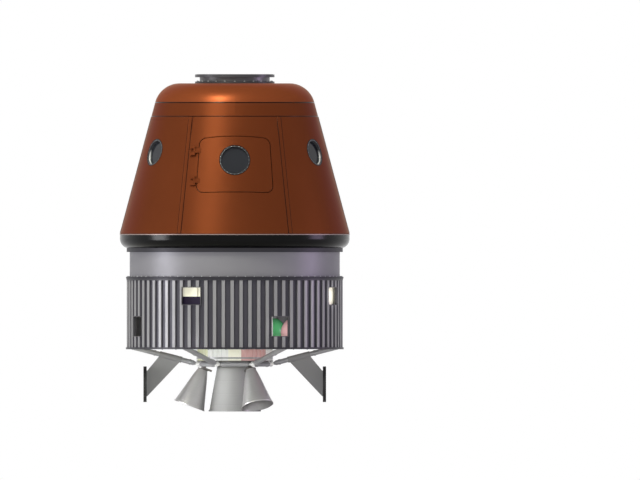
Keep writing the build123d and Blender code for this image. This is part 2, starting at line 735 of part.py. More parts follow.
def drum(inner, outer, low_z, high_z):
    """A plain tube about the centre line."""
    with BuildPart() as tube:
        with BuildSketch(Plane.XY.offset(low_z)):
            Circle(outer)
            Circle(inner, mode=Mode.SUBTRACT)
        extrude(amount=high_z - low_z)
    return tube.part


def arc_points(radius, start, end):
    """Start, middle and end of an arc about the centre line, between two azimuths."""
    return [polar(radius, a)[:2] for a in (start, (start + end) / 2, end)]


def hat_outline(azimuth):
    """Corners of a hat-shaped stringer's section, with its feet sunk in the skin."""
    foot, top = HAT_PITCH * HAT_FOOT_SHARE / 2, HAT_PITCH * HAT_TOP_SHARE / 2
    corners = (
        # radius, azimuth
        (SKIN_R - SKIN_T / 2, azimuth - foot),
        (SKIN_R + HAT_H, azimuth - top),
        (SKIN_R + HAT_H, azimuth + top),
        (SKIN_R - SKIN_T / 2, azimuth + foot),
    )
    return [polar(r, a)[:2] for r, a in corners]


QUARTER_NAMES = ("front_service_wall", "right_service_wall", "rear_service_wall", "left_service_wall")
skin_inner_r = SKIN_R - SKIN_T
for quarter, name in enumerate(QUARTER_NAMES):
    end_az = FIRST_SPLIT_AZ + quarter * QUARTER_ARC
    start_az = end_az - QUARTER_ARC
    with BuildPart() as wall:
        with BuildSketch(Plane.XY.offset(WALL_BASE_Z)):
            with BuildLine():
                outer = arc_points(SKIN_R, start_az, end_az)
                inner = arc_points(skin_inner_r, start_az, end_az)
                ThreePointArc(*outer)
                ThreePointArc(*inner)
                Line(outer[0], inner[0])
                Line(outer[2], inner[2])
            make_face()
            for i in range(HATS_PER_QUARTER):
                with BuildLine():
                    Polyline(*hat_outline(start_az + (i + 0.5) * HAT_PITCH), close=True)
                make_face()
        extrude(amount=SERVICE_WALL_H)
        for port in PORTS:
            add(port_block(port, PORT_SLEEVE_T + FIT), mode=Mode.SUBTRACT)
    write(wall, name)

hats_drum = drum(skin_inner_r, SKIN_R + HAT_H, WALL_BASE_Z, WALL_TOP_Z)
with BuildPart() as port_frames:
    for port in PORTS:
        add((hats_drum & port_block(port, PORT_SLEEVE_T)) - port_block(port, 0))
write(port_frames, "port_frames")

# Decks across the service module, with the centre tube between them
deck_r = skin_inner_r - FIT
with BuildPart() as mid_deck:
    add(drum(TUBE_R + TUBE_RIB_H + FIT, deck_r, MID_DECK_Z, MID_DECK_Z + DECK_T))
write(mid_deck, "mid_deck")
with BuildPart() as upper_deck:
    add(drum(TUBE_R - TUBE_T, deck_r, UPPER_DECK_Z, UPPER_DECK_Z + DECK_T))
write(upper_deck, "upper_deck")
with BuildPart() as thrust_tube:
    with BuildSketch(Plane.XY.offset(TUBE_BASE_Z)):
        Circle(TUBE_R)
        with PolarLocations(TUBE_R, TUBE_RIBS):
            Rectangle(2 * TUBE_RIB_H, pi * TUBE_R / TUBE_RIBS)
        Circle(TUBE_R - TUBE_T, mode=Mode.SUBTRACT)
    extrude(amount=UPPER_DECK_Z - TUBE_BASE_Z)
write(thrust_tube, "thrust_tube")
with BuildPart() as thrust_plate:
    add(drum(TUBE_FLANGE_BORE_R, TUBE_FLANGE_R, TUBE_BASE_Z - TUBE_FLANGE_T, TUBE_BASE_Z))
write(thrust_plate, "thrust_plate")
with BuildPart() as engine_bulkhead:
    with BuildSketch(Plane.XY.offset(BULKHEAD_Z)):
        Circle(TUBE_R - TUBE_T - FIT)
    extrude(amount=DECK_T)
write(engine_bulkhead, "engine_bulkhead")

# Spherical tanks, hung under the middle deck on round bosses
TANK_NAMES = ("silver_tanks", "pink_tanks", "cream_tanks", "green_tanks")
TANK_STEP = 360 / TANK_COUNT
for first, name in enumerate(TANK_NAMES):
    with BuildPart() as tanks:
        for i in range(first, TANK_COUNT, len(TANK_NAMES)):
            with Locations(polar(TANK_RING_R, TANK_PHASE + i * TANK_STEP, TANK_Z)):
                Sphere(TANK_R)
    write(tanks, name)
with BuildPart() as tank_cradles:
    for i in range(TANK_COUNT):
        x, y, z = polar(TANK_RING_R, TANK_PHASE + i * TANK_STEP, TANK_Z)
        with BuildSketch(Plane.XY.offset(TANK_Z)):
            with Locations((x, y)):
                Circle(CRADLE_R)
        extrude(amount=MID_DECK_Z - TANK_Z)
        with Locations((x, y, z)):
            Sphere(TANK_R + FIT, mode=Mode.SUBTRACT)
write(tank_cradles, "tank_cradles")

# Equipment boxes on the middle deck, behind the upper ports
deck_top_z = MID_DECK_Z + DECK_T


def equipment_box(azimuth, left, right, low_z, high_z):
    """A box behind a port, between two distances along the wall, with rounded upright edges."""
    plane = Plane(origin=(0, 0, low_z), x_dir=polar(1, azimuth), z_dir=(0, 0, 1))
    with BuildPart() as box:
        with BuildSketch(plane):
            with Locations((BOX_FACE_R - BOX_DEPTH / 2, (left + right) / 2)):
                RectangleRounded(BOX_DEPTH, right - left, BOX_CORNER_R)
        extrude(amount=high_z - low_z)
    return box.part


with BuildPart() as dark_boxes:
    for i in (0, 2):
        azimuth = UPPER_PORT_AZ + i * QUARTER_ARC
        add(equipment_box(azimuth, BOX_LEFT, BOX_RIGHT, deck_top_z, BOX_SPLIT_Z))
write(dark_boxes, "dark_boxes")
with BuildPart() as cream_boxes:
    for i in range(QUARTERS):
        azimuth = UPPER_PORT_AZ + i * QUARTER_ARC
        if i % 2 == 0:
            add(equipment_box(azimuth, BOX_LEFT, BOX_SEAM, BOX_SPLIT_Z, BOX_TOP_Z))
            add(equipment_box(azimuth, BOX_SEAM + BOX_SEAM_W, BOX_RIGHT, BOX_SPLIT_Z, BOX_TOP_Z))
        else:
            add(equipment_box(azimuth, BOX_LEFT, BOX_RIGHT, deck_top_z, BOX_TOP_Z))
write(cream_boxes, "cream_boxes")

# Thrust frame: six tubes between six ball joints, and six struts out to the base ring
FRAME_STEP = 360 / FRAME_SIDES
frame_corner = Vector(FRAME_R, 0, FRAME_Z)
strut_way = Vector(1, 0, STRUT_RISE).normalized()
side_ways = [Vector(1, 0, 0).rotate(Axis.Z, angle) for angle in (180 - FRAME_STEP, 180 + FRAME_STEP)]
frame_top_z = TUBE_BASE_Z - TUBE_FLANGE_T


def rod(start, way, length, radius):
    """A round bar from a point, along a direction."""
    with BuildPart() as bar:
        with BuildSketch(Plane(origin=start, z_dir=way)):
            Circle(radius)
        extrude(amount=length)
    return bar.part


def tapered_rod(way, length, radius, far_radius):
    """A round bar from a joint's stub that widens to its radius, and tapers to another at the far end."""
    start = frame_corner + way * BALL_STUB_LEN
    with BuildPart() as bar:
        with BuildSketch(Plane(origin=start, x_dir=way, z_dir=way.cross(Vector(0, 0, 1)))):
            with BuildLine():
                Polyline(
                    (0, 0),
                    (0, BALL_STUB_R),
                    (ROD_TAPER_LEN, radius),
                    (length - ROD_TAPER_LEN, radius),
                    (length, far_radius),
                    (length, 0),
                    close=True,
                )
            make_face()
        revolve(axis=Axis(start, way))
    return bar.part


with BuildPart() as joint:
    with Locations((FRAME_R, 0, FRAME_Z)):
        Sphere(BALL_R)
    for way in (strut_way, *side_ways):
        add(rod(frame_corner, way, BALL_STUB_LEN, BALL_STUB_R))
with BuildPart() as strut:
    add(tapered_rod(strut_way, BASE_RING_R - FRAME_R, STRUT_R, STRUT_R))
    for ring_r, ring_z in ((FRAME_R, BASE_FACE_Z), (SKIN_R, SERVICE_BASE_Z)):
        add(drum(ring_r, 2 * BASE_RING_R, ring_z, 2 * SERVICE_BASE_Z), mode=Mode.SUBTRACT)
frame_side = tapered_rod(side_ways[0], FRAME_R - 2 * BALL_STUB_LEN, FRAME_TUBE_R, BALL_STUB_R)
with BuildPart() as frame_joints:
    for i in range(FRAME_SIDES):
        add(Rot(0, 0, i * FRAME_STEP) * joint.part)
write(frame_joints, "frame_joints")
with BuildPart() as frame_tubes:
    for i in range(FRAME_SIDES):
        add(Rot(0, 0, i * FRAME_STEP) * frame_side)
write(frame_tubes, "frame_tubes")
with BuildPart() as thrust_struts:
    for i in range(FRAME_SIDES):
        add(Rot(0, 0, i * FRAME_STEP) * strut.part)
write(thrust_struts, "thrust_struts")


def bell(plane, exit_r, skirt_r, skirt_len, neck_r, length, wall, lip_w, lip_h):
    """A nozzle about a plane's y axis: a straight skirt from the exit, a curved throat end and a lip."""
    with BuildPart() as nozzle:
        with BuildSketch(plane):
            with BuildLine():
                for depth in (0, wall):
                    exit_point, skirt_point = (exit_r - depth, 0), (skirt_r - depth, skirt_len)
                    Line(exit_point, skirt_point)
                    TangentArc(skirt_point, (neck_r - depth, length), tangent=(skirt_r - exit_r, skirt_len))
                Line((exit_r, 0), (exit_r - wall, 0))
                Line((neck_r, length), (neck_r - wall, length))
            make_face()
            with Locations((exit_r - wall / 2 + lip_w / 2, lip_h / 2)):
                Rectangle(wall + lip_w, lip_h)
        revolve(axis=Axis(plane.origin, plane.y_dir))
    return nozzle.part


# Main engine: a bell under a throat block that hangs from the bulkhead
with BuildPart() as main_nozzle:
    main_skirt = (MAIN_EXIT_R, MAIN_SKIRT_R, MAIN_SKIRT_Z)
    add(bell(Plane.XZ, *main_skirt, MAIN_NECK_R, MAIN_NECK_Z, MAIN_WALL_T, MAIN_LIP_W, MAIN_LIP_H))
write(main_nozzle, "main_nozzle")
with BuildPart() as main_engine:
    add(
        turned(
            Plane.XZ,
            [
                (MAIN_NECK_R - MAIN_WALL_T, MAIN_NECK_Z),
                (MAIN_NECK_R + MAIN_COLLAR_W, MAIN_NECK_Z),
                (MAIN_NECK_R + MAIN_COLLAR_W, MAIN_NECK_Z + MAIN_FLANGE_T),
                (MAIN_THROAT_R + MAIN_COLLAR_W, MAIN_THROAT_Z),
                (MAIN_CHAMBER_R, MAIN_CHAMBER_Z),
                (MAIN_CHAMBER_R, BULKHEAD_Z - MAIN_FLANGE_T),
                (MAIN_FLANGE_R, BULKHEAD_Z - MAIN_FLANGE_T),
                (MAIN_FLANGE_R, BULKHEAD_Z),
                (0, BULKHEAD_Z),
                (0, MAIN_THROAT_Z + MAIN_THROAT_DEPTH),
                (MAIN_THROAT_R, MAIN_THROAT_Z + MAIN_THROAT_DEPTH),
                (MAIN_THROAT_R, MAIN_THROAT_Z),
            ],
        )
    )
write(main_engine, "main_engine")

# Side engines: a bell about its own canted axis, and a flange, a block and a post up to the thrust plate
SIDE_ENGINE_NAMES = ("right_side_nozzle", "rear_side_nozzle", "left_side_nozzle")


def engine_plane(azimuth):
    """A side engine's own plane: z up its axis from the exit, x outwards."""
    out = polar(cos(radians(SIDE_CANT)), azimuth, sin(radians(SIDE_CANT)))
    axis = polar(-sin(radians(SIDE_CANT)), azimuth, cos(radians(SIDE_CANT)))
    return Plane(origin=polar(SIDE_EXIT_CENTRE_R, azimuth, SIDE_EXIT_Z), x_dir=out, z_dir=axis)


for i, name in enumerate(SIDE_ENGINE_NAMES):
    plane = engine_plane(SIDE_FIRST_AZ + i * SIDE_STEP_AZ)
    section = Plane(origin=plane.origin, x_dir=plane.x_dir, z_dir=-plane.y_dir)
    side_skirt = (SIDE_EXIT_R, SIDE_SKIRT_R, SIDE_SKIRT_LEN)
    with BuildPart() as nozzle:
        add(bell(section, *side_skirt, SIDE_NECK_R, SIDE_LEN, SIDE_WALL_T, SIDE_LIP_W, SIDE_LIP_H))
    write(nozzle, name)
with BuildPart() as side_engine_mounts:
    for i in range(SIDE_ENGINES):
        plane = engine_plane(SIDE_FIRST_AZ + i * SIDE_STEP_AZ)
        with BuildSketch(plane.offset(SIDE_LEN)):
            Circle(SIDE_FLANGE_R)
        extrude(amount=SIDE_FLANGE_T)
        with BuildSketch(plane.offset(SIDE_LEN + SIDE_FLANGE_T)):
            with Locations(((SIDE_BLOCK_OUT - SIDE_BLOCK_IN) / 2, 0)):
                RectangleRounded(SIDE_BLOCK_OUT + SIDE_BLOCK_IN, SIDE_BLOCK_W, SIDE_BLOCK_CORNER_R)
        extrude(amount=SIDE_BLOCK_T)
        with BuildSketch(plane.offset(SIDE_LEN)):
            Circle(SIDE_POST_R)
        extrude(amount=SIDE_LEN)
    split(bisect_by=Plane.XY.offset(frame_top_z), keep=Keep.BOTTOM)
write(side_engine_mounts, "side_engine_mounts")

# Disc antennas on plate arms, hung from the struts at both sides


def strut_z(x):
    """Height of a strut's centre line at a distance from the centre."""
    return FRAME_Z + STRUT_RISE * (x - FRAME_R)


with BuildPart() as antenna_arms:
    for side in (-1, 1):
        foot_x = ANTENNA_X - ARM_FOOT_T
        with BuildSketch(Plane.XZ):
            with BuildLine():
                Polyline(
                    (side * ARM_TOP_OUT, strut_z(ARM_TOP_OUT)),
                    (side * ARM_TOP_IN, strut_z(ARM_TOP_IN)),
                    (side * foot_x, ARM_BASE_LOW_Z),
                    (side * foot_x, ARM_BASE_HIGH_Z),
                    close=True,
                )
            make_face()
        extrude(amount=ARM_T / 2, both=True)
        way = Vector(side, 0, STRUT_RISE).normalized()
        saddle_start = Vector(side * ARM_TOP_IN, 0, strut_z(ARM_TOP_IN))
        add(rod(saddle_start, way, SADDLE_LEN, STRUT_R + FIT + SADDLE_T))
        add(rod(Vector(side * FRAME_R, 0, FRAME_Z), way, BASE_RING_R, STRUT_R + FIT), mode=Mode.SUBTRACT)
        with BuildSketch(Plane.YZ.offset(side * foot_x)):
            with Locations((0, (ARM_BASE_LOW_Z + ARM_BASE_HIGH_Z) / 2)):
                Rectangle(ARM_FOOT_W, ARM_BASE_HIGH_Z - ARM_BASE_LOW_Z)
        extrude(amount=side * ARM_FOOT_T)
write(antenna_arms, "antenna_arms")
with BuildPart() as antennas:
    for side in (-1, 1):
        with BuildSketch(Plane.YZ.offset(side * ANTENNA_X)):
            with Locations((0, ANTENNA_Z)):
                Circle(ANTENNA_R)
        extrude(amount=side * ANTENNA_T)
        with BuildSketch(Plane.YZ.offset(side * (ANTENNA_X + ANTENNA_T))):
            with Locations((0, ANTENNA_Z)):
                Circle(ANTENNA_R - ANTENNA_RIM_W)
        extrude(amount=side * (ANTENNA_RIM_T - ANTENNA_T), mode=Mode.SUBTRACT)
write(antennas, "antennas")

# Cabin floor, between the walls
floor_r = inside_r(FLOOR_Z + FLOOR_T) - FIT
with BuildPart() as cabin_floor:
    with BuildSketch(Plane.XY.offset(FLOOR_Z)):
        Circle(floor_r)
    extrude(amount=FLOOR_T)
write(cabin_floor, "cabin_floor")

# Three couches, each a bent sheet for a crew member on their back, with the feet to the rear
COUCH_LINE = (
    # y, height above the crew floor's underside
    Vector(COUCH_HEAD_Y, COUCH_BACK_RISE),
    Vector(COUCH_HIP_Y, COUCH_BACK_RISE),
    Vector(COUCH_KNEE_Y, COUCH_KNEE_RISE),
    Vector(COUCH_HEEL_Y, COUCH_KNEE_RISE),
    Vector(COUCH_HEEL_Y, COUCH_TOE_RISE),
)
COUCH_XS = [(i - (COUCH_COUNT - 1) / 2) * COUCH_PITCH for i in range(COUCH_COUNT)]
couch_planes = [Plane(origin=(x, 0, FLOOR_Z), x_dir=(0, 1, 0), z_dir=(1, 0, 0)) for x in COUCH_XS]
with BuildPart() as couches:
    for plane in couch_planes:
        with BuildSketch(plane):
            with BuildLine():
                FilletPolyline(*COUCH_LINE, radius=COUCH_BEND_R)
            trace(line_width=COUCH_SHEET_T)
        extrude(amount=COUCH_W / 2, both=True)
write(couches, "couches")

# Their pads, for the head, the back, the thighs and the calves
PAD_RUNS = (
    # straight run of the sheet, start and end along it
    (0, 10, 190),
    (0, 200, 850),
    (1, 60, 350),
    (2, 60, 340),
)
with BuildPart() as couch_pads:
    for plane in couch_planes:
        for run, low, high in PAD_RUNS:
            way = (COUCH_LINE[run + 1] - COUCH_LINE[run]).normalized()
            up = Vector(-way.Y, way.X)
            start = COUCH_LINE[run] + way * low + up * (COUCH_SHEET_T / 2 + PAD_GAP)
            along, across = way * (high - low), up * PAD_T
            with BuildSketch(plane):
                with BuildLine():
                    Polyline(start, start + along, start + along + across, start + across, close=True)
                make_face()
            extrude(amount=COUCH_W / 2 - PAD_SIDE, both=True)
write(couch_pads, "couch_pads")

# Cross beams on posts carry the couches: two under the backs, one under the legs
BEAMS = (
    # y, height of its top above the crew floor's underside
    (COUCH_HEAD_Y + BEAM_INSET, COUCH_BACK_RISE - COUCH_SHEET_T / 2),
    (COUCH_HIP_Y - BEAM_INSET, COUCH_BACK_RISE - COUCH_SHEET_T / 2),
    (COUCH_HEEL_Y - BEAM_INSET, COUCH_KNEE_RISE - COUCH_SHEET_T / 2),
)
with BuildPart() as couch_stand:
    for y, top in BEAMS:
        with Locations((0, y, FLOOR_Z + top - BEAM_W / 2)):
            Box(COUCH_XS[-1] - COUCH_XS[0] + COUCH_W, BEAM_W, BEAM_W)
        post_parts = (
            # radius, height above the floor's top
            (POST_FOOT_R, POST_FOOT_T),
            (POST_R, top - BEAM_W - FLOOR_T),
        )
        for radius, height in post_parts:
            with BuildSketch(Plane.XY.offset(FLOOR_Z + FLOOR_T)):
                with Locations((COUCH_XS[0], y), (COUCH_XS[-1], y)):
                    Circle(radius)
            extrude(amount=height)
write(couch_stand, "couch_stand")

# Instrument console over the crew's knees, on two arms from the ceiling, with bays for its screens
console_way = (0, -cos(radians(CONSOLE_TILT)), -sin(radians(CONSOLE_TILT)))
console_face = Plane(origin=(0, CONSOLE_Y, FLOOR_Z + CONSOLE_RISE), x_dir=(1, 0, 0), z_dir=console_way)
ceiling_z = CROWN_TOP_Z - WALL_T - FIT
with BuildPart() as instrument_console:
    with BuildSketch(console_face):
        RectangleRounded(CONSOLE_W, CONSOLE_LEN, CONSOLE_CORNER_R)
    extrude(amount=-CONSOLE_DEPTH)
    with BuildSketch(console_face):
        with GridLocations(CONSOLE_W / COUCH_COUNT, 0, COUCH_COUNT, 1):
            RectangleRounded(CONSOLE_BAY_W, CONSOLE_BAY_LEN, CONSOLE_BAY_CORNER_R)
    extrude(amount=-CONSOLE_BAY_DEPTH, mode=Mode.SUBTRACT)
    for side in (-1, 1):
        arm_base = console_face.from_local_coords((side * CONSOLE_ARM_X, 0, -CONSOLE_DEPTH / 2))
        with BuildSketch(Plane(origin=arm_base, z_dir=(0, 0, 1))):
            Rectangle(CONSOLE_ARM_W, CONSOLE_ARM_W)
        extrude(amount=ceiling_z - arm_base.Z)
write(instrument_console, "instrument_console")
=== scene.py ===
# %% [markdown]
# A crew spacecraft in two parts: a brown conical capsule with a round-cornered hatch, on a grey service module
# with a ribbed wall, spherical tanks and four rocket nozzles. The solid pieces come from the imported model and
# stay as they are. This lesson gives them their finishes and adds the small things that a solid model leaves
# out, such as bolts, seals, welds and couch cushions. Every size is in metres.

# %% Load the fixed frame
import json
from math import atan2, cos, degrees, exp, pi, radians, sin, sqrt, tan
import bmesh
import bpy
from mathutils import Matrix, Vector


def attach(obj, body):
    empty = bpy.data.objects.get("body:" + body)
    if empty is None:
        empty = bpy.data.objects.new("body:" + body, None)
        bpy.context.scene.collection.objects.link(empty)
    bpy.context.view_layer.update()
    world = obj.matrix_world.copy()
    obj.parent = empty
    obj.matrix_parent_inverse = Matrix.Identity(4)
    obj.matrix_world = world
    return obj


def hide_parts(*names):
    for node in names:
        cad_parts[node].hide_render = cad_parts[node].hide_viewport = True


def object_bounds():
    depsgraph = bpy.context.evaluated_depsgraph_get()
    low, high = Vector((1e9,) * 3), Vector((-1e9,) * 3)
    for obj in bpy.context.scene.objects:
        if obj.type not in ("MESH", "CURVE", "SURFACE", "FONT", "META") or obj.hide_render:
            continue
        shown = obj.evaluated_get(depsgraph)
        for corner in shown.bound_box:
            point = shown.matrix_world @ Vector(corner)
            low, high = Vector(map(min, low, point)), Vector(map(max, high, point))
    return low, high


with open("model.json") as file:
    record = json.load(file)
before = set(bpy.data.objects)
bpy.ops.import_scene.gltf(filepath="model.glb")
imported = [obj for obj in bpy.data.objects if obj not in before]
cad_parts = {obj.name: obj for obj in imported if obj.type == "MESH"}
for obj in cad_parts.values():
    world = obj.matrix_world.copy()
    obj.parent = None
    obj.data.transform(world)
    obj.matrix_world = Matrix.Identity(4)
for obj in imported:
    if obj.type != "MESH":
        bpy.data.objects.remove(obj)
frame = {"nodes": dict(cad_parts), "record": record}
nodes = frame["nodes"]
cad_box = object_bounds()
scene = bpy.context.scene
scene.view_settings.view_transform = "Standard"
print(len(nodes), "solid nodes, from", tuple(cad_box[0]), "to", tuple(cad_box[1]))

# %% [markdown]
# The picture is a front elevation with no perspective, so the camera is orthographic. It looks level along +Y.
# One pixel of the 640 by 480 picture is 13.5 mm, the craft's centre line is at pixel 234.75 across, and the
# nozzles stand at pixel 411.5 down. These three values place the camera.

# %% Camera
PIXEL = 0.0135
PICTURE_W, PICTURE_H = 640, 480
CENTRE_LINE_PX, GROUND_PX = 234.75, 411.5
CAMERA_DISTANCE = 12.0
camera_data = bpy.data.cameras.new("front_camera")
camera_data.type = "ORTHO"
camera_data.ortho_scale = PICTURE_W * PIXEL
camera_data.clip_end = 200.0
camera = bpy.data.objects.new("front_camera", camera_data)
camera.location = (
    (PICTURE_W / 2 - CENTRE_LINE_PX) * PIXEL,
    -CAMERA_DISTANCE,
    (GROUND_PX - PICTURE_H / 2) * PIXEL,
)
camera.rotation_euler = (pi / 2, 0, 0)
scene.collection.objects.link(camera)
scene.camera = camera
print("camera at", tuple(camera.location), "sees", camera_data.ortho_scale, "m across")

# %% [markdown]
# Many shader nodes and meshes are made below, so short helpers come first. One makes a node with its settings
# and inputs in one call, one does a sum, and one tells a direct look from the light that falls on things.

# %% Helpers for shader nodes
def feed(tree, source, target):
    """Joins two sockets of a node tree."""
    tree.links.new(source, target)


def make(tree, kind, inputs=(), **settings):
    """A shader node with its settings, and with inputs that are set to values or joined to sockets."""
    node = tree.nodes.new("ShaderNode" + kind)
    for label, value in settings.items():
        setattr(node, label, value)
    for label, value in dict(inputs).items():
        if isinstance(value, bpy.types.NodeSocket):
            feed(tree, value, node.inputs[label])
        else:
            node.inputs[label].default_value = value
    return node


def maths(tree, operation, *values, clamp=False):
    """A math node on sockets or plain numbers, and its result."""
    return make(tree, "Math", enumerate(values), operation=operation, use_clamp=clamp).outputs[0]


def direct_look(tree):
    """A socket that is 1 for what the camera, gloss and glass see, and 0 for the light that falls on things."""
    rays = make(tree, "LightPath").outputs
    seen = maths(tree, "MAXIMUM", rays["Is Camera Ray"], rays["Is Glossy Ray"])
    return maths(tree, "MAXIMUM", seen, rays["Is Transmission Ray"])


def begin(primitive, name, **options):
    """A new mesh from a primitive, selected alone."""
    bpy.ops.object.select_all(action="DESELECT")
    primitive(**options)
    bpy.context.object.name = name
    return bpy.context.object


print("helpers for nodes and first meshes are ready")

# %% [markdown]
# The studio has a pale floor and a white surround. The surround is white to the camera, to reflections and
# through glass, and a dim grey to everything else, so that the lamps can shape the forms. The floor holds the
# craft's shadow and does the same further out.

# %% Surround and floor
AMBIENT, AMBIENT_TINT = 0.16, (0.97, 0.98, 1.0, 1)
FLOOR_R, FLOOR_COLOUR, WHITE_FROM, WHITE_BY = 120.0, (0.82, 0.82, 0.82, 1), 2.5, 9.0


def lay_world():
    """A world that is white to the camera, gloss and glass, and dim to the rest."""
    world = bpy.data.worlds.new("studio_surround")
    world.use_nodes = True
    tree = world.node_tree
    tree.nodes.clear()
    dim = make(tree, "Background", {"Color": AMBIENT_TINT, "Strength": AMBIENT})
    white = make(tree, "Background", {"Color": (1, 1, 1, 1)})
    mix = make(tree, "MixShader", {0: direct_look(tree), 1: dim.outputs[0], 2: white.outputs[0]})
    make(tree, "OutputWorld", {"Surface": mix.outputs[0]})
    scene.world = world


def lay_floor():
    """A round pale floor under the nozzles' rims. Near the craft it holds the shadow, further out it is
    white, and from below it is clear."""
    floor = begin(bpy.ops.mesh.primitive_circle_add, "studio_floor", vertices=96, radius=FLOOR_R, fill_type="TRIFAN")
    material = bpy.data.materials.new("pale_floor")
    material.use_nodes = True
    tree = material.node_tree
    shader = tree.nodes["Principled BSDF"]
    for label, value in (("Base Color", FLOOR_COLOUR), ("Roughness", 0.9), ("Specular IOR Level", 0.1)):
        shader.inputs[label].default_value = value
    reach = make(tree, "VectorMath", {0: make(tree, "TexCoord").outputs["Object"]}, operation="LENGTH")
    fade = make(tree, "MapRange", {"Value": reach.outputs["Value"], "From Min": WHITE_FROM, "From Max": WHITE_BY},
                interpolation_type="SMOOTHSTEP")
    white = maths(tree, "MULTIPLY", fade.outputs["Result"], direct_look(tree))
    above = make(tree, "MixShader", {0: white, 1: shader.outputs["BSDF"], 2: make(tree, "Emission").outputs[0]})
    side, clear = make(tree, "NewGeometry"), make(tree, "BsdfTransparent")
    both = make(tree, "MixShader", {0: side.outputs["Backfacing"], 1: above.outputs[0], 2: clear.outputs[0]})
    feed(tree, both.outputs[0], tree.nodes["Material Output"].inputs["Surface"])
    floor.data.materials.append(material)


lay_world()
lay_floor()
print("surround and floor are in place")

# %% [markdown]
# Six soft lamps and three narrow spots light the craft. The key lamp stands high at the front left and makes the
# warm streak down the capsule, and a larger one widens it. One lights the left side, a violet one the right, one
# behind keeps the back readable, and a low one fills the front. The spots reach the nozzles and into two ports.

# %% Lamps
LAMP_DISTANCE, SPOT_BLEND, SPOT_GAIN = 12.0, 0.6, 4.0
LAMPS = (
    # name, azimuth from the front towards +X, elevation, size, level (1 shows a colour as written), colour
    ("key_lamp", -26, 50, 2.4, 0.80, (1.0, 1.0, 0.84)),
    ("streak_lamp", -30, 30, 4.0, 0.18, (1.0, 1.0, 0.78)),
    ("left_lamp", -77, -2, 3.4, 0.44, (0.98, 0.98, 1.0)),
    ("violet_lamp", 86, 4, 3.4, 0.22, (0.88, 0.68, 1.0)),
    ("back_lamp", 172, 32, 6.0, 0.62, (1.0, 1.0, 1.0)),
    ("front_fill", 0, -7, 1.6, 0.36, (1.0, 1.0, 1.0)),
)
NOT_IN_GLOSS = ("front_fill", "back_lamp")
SPOTS = (
    # name, azimuth, elevation, beam, lamp's radius, level, and what it lights: radius, azimuth, height
    ("engine_spot", -40, 10, 5.6, 0.5, 0.54, (0.0, 0, 0.24)),
    ("tank_spot", 0, 0, 1.3, 0.1, 1.00, (1.43, 25, 1.150)),
    ("box_spot", 30, 0, 1.5, 0.1, 1.20, (1.43, 66, 1.559)),
)


def way_out(azimuth, rise=0.0):
    """The direction away from the centre line at an azimuth in degrees, raised by an angle in radians."""
    a = radians(azimuth)
    return Vector((sin(a) * cos(rise), -cos(a) * cos(rise), sin(rise)))


def ring_point(radius, azimuth, z):
    """The point at a distance from the centre line, an azimuth in degrees and a height."""
    return way_out(azimuth) * radius + Vector((0, 0, z))


def hang(name, kind, azimuth, elevation, level, lit, **settings):
    """A lamp that faces a place, with the power that gives its level there."""
    data = bpy.data.lights.new(name, kind)
    for label, value in settings.items():
        setattr(data, label, value)
    data.energy = level * (pi * LAMP_DISTANCE) ** 2
    lamp = bpy.data.objects.new(name, data)
    away = way_out(azimuth, radians(elevation))
    lamp.location = lit + away * LAMP_DISTANCE
    lamp.rotation_euler = (-away).to_track_quat("-Z", "Y").to_euler()
    lamp.visible_glossy = name not in NOT_IN_GLOSS
    scene.collection.objects.link(lamp)


for name, azimuth, elevation, size, level, colour in LAMPS:
    hang(name, "AREA", azimuth, elevation, level, (cad_box[0] + cad_box[1]) / 2, size=size, color=colour)
for name, azimuth, elevation, beam, radius, level, lit in SPOTS:
    hang(name, "SPOT", azimuth, elevation, SPOT_GAIN * level, ring_point(*lit), spot_size=radians(beam),
         spot_blend=SPOT_BLEND, shadow_soft_size=radius)
print(len(LAMPS) + len(SPOTS), "lamps")

# %% [markdown]
# Two effects serve every finish, so each is a shader node group. Grain gives a fine value that turns into bump
# and uneven gloss. Mottle shifts a colour gently over a large area, as sprayed coatings do.

# %% Shared effects
FLOAT, COLOUR = "NodeSocketFloat", "NodeSocketColor"


def open_group(name, inputs, outputs):
    """A shader node group with its sockets, and its input and output nodes."""
    group = bpy.data.node_groups.new(name, "ShaderNodeTree")
    for label, kind, value in inputs:
        group.interface.new_socket(label, in_out="INPUT", socket_type=kind).default_value = value
    for label, kind in outputs:
        group.interface.new_socket(label, in_out="OUTPUT", socket_type=kind)
    return group, group.nodes.new("NodeGroupInput").outputs, group.nodes.new("NodeGroupOutput").inputs


def build_grain():
    """Fine isotropic grain from two noises: a height for bump and a value for gloss, both round 0.5."""
    group, given, out = open_group(
        "grain", [("Scale", FLOAT, 200.0), ("Coarse", FLOAT, 12.0)], [("Height", FLOAT), ("Patches", FLOAT)]
    )
    where = make(group, "TexCoord").outputs["Object"]
    for label, target, detail in (("Scale", "Height", 3.0), ("Coarse", "Patches", 2.0)):
        noise = make(group, "TexNoise", {"Vector": where, "Scale": given[label], "Detail": detail})
        feed(group, noise.outputs["Fac"], out[target])
    return group


def build_mottle():
    """A colour that drifts gently between a darker and a lighter shade of itself."""
    group, given, out = open_group(
        "mottle",
        [("Color", COLOUR, (0.5, 0.5, 0.5, 1)), ("Amount", FLOAT, 0.1), ("Scale", FLOAT, 2.0)],
        [("Color", COLOUR)],
    )
    where = make(group, "TexCoord").outputs["Object"]
    noise = make(group, "TexNoise", {"Vector": where, "Scale": given["Scale"], "Detail": 6.0, "Roughness": 0.6})
    spread = maths(group, "SUBTRACT", noise.outputs["Fac"], 0.5)
    gain = maths(group, "ADD", maths(group, "MULTIPLY", spread, given["Amount"]), 1.0)
    shade = make(group, "VectorMath", {0: given["Color"], "Scale": gain}, operation="SCALE")
    feed(group, shade.outputs[0], out["Color"])
    return group


GRAIN, MOTTLE = build_grain(), build_mottle()
print("effects:", GRAIN.name, MOTTLE.name)

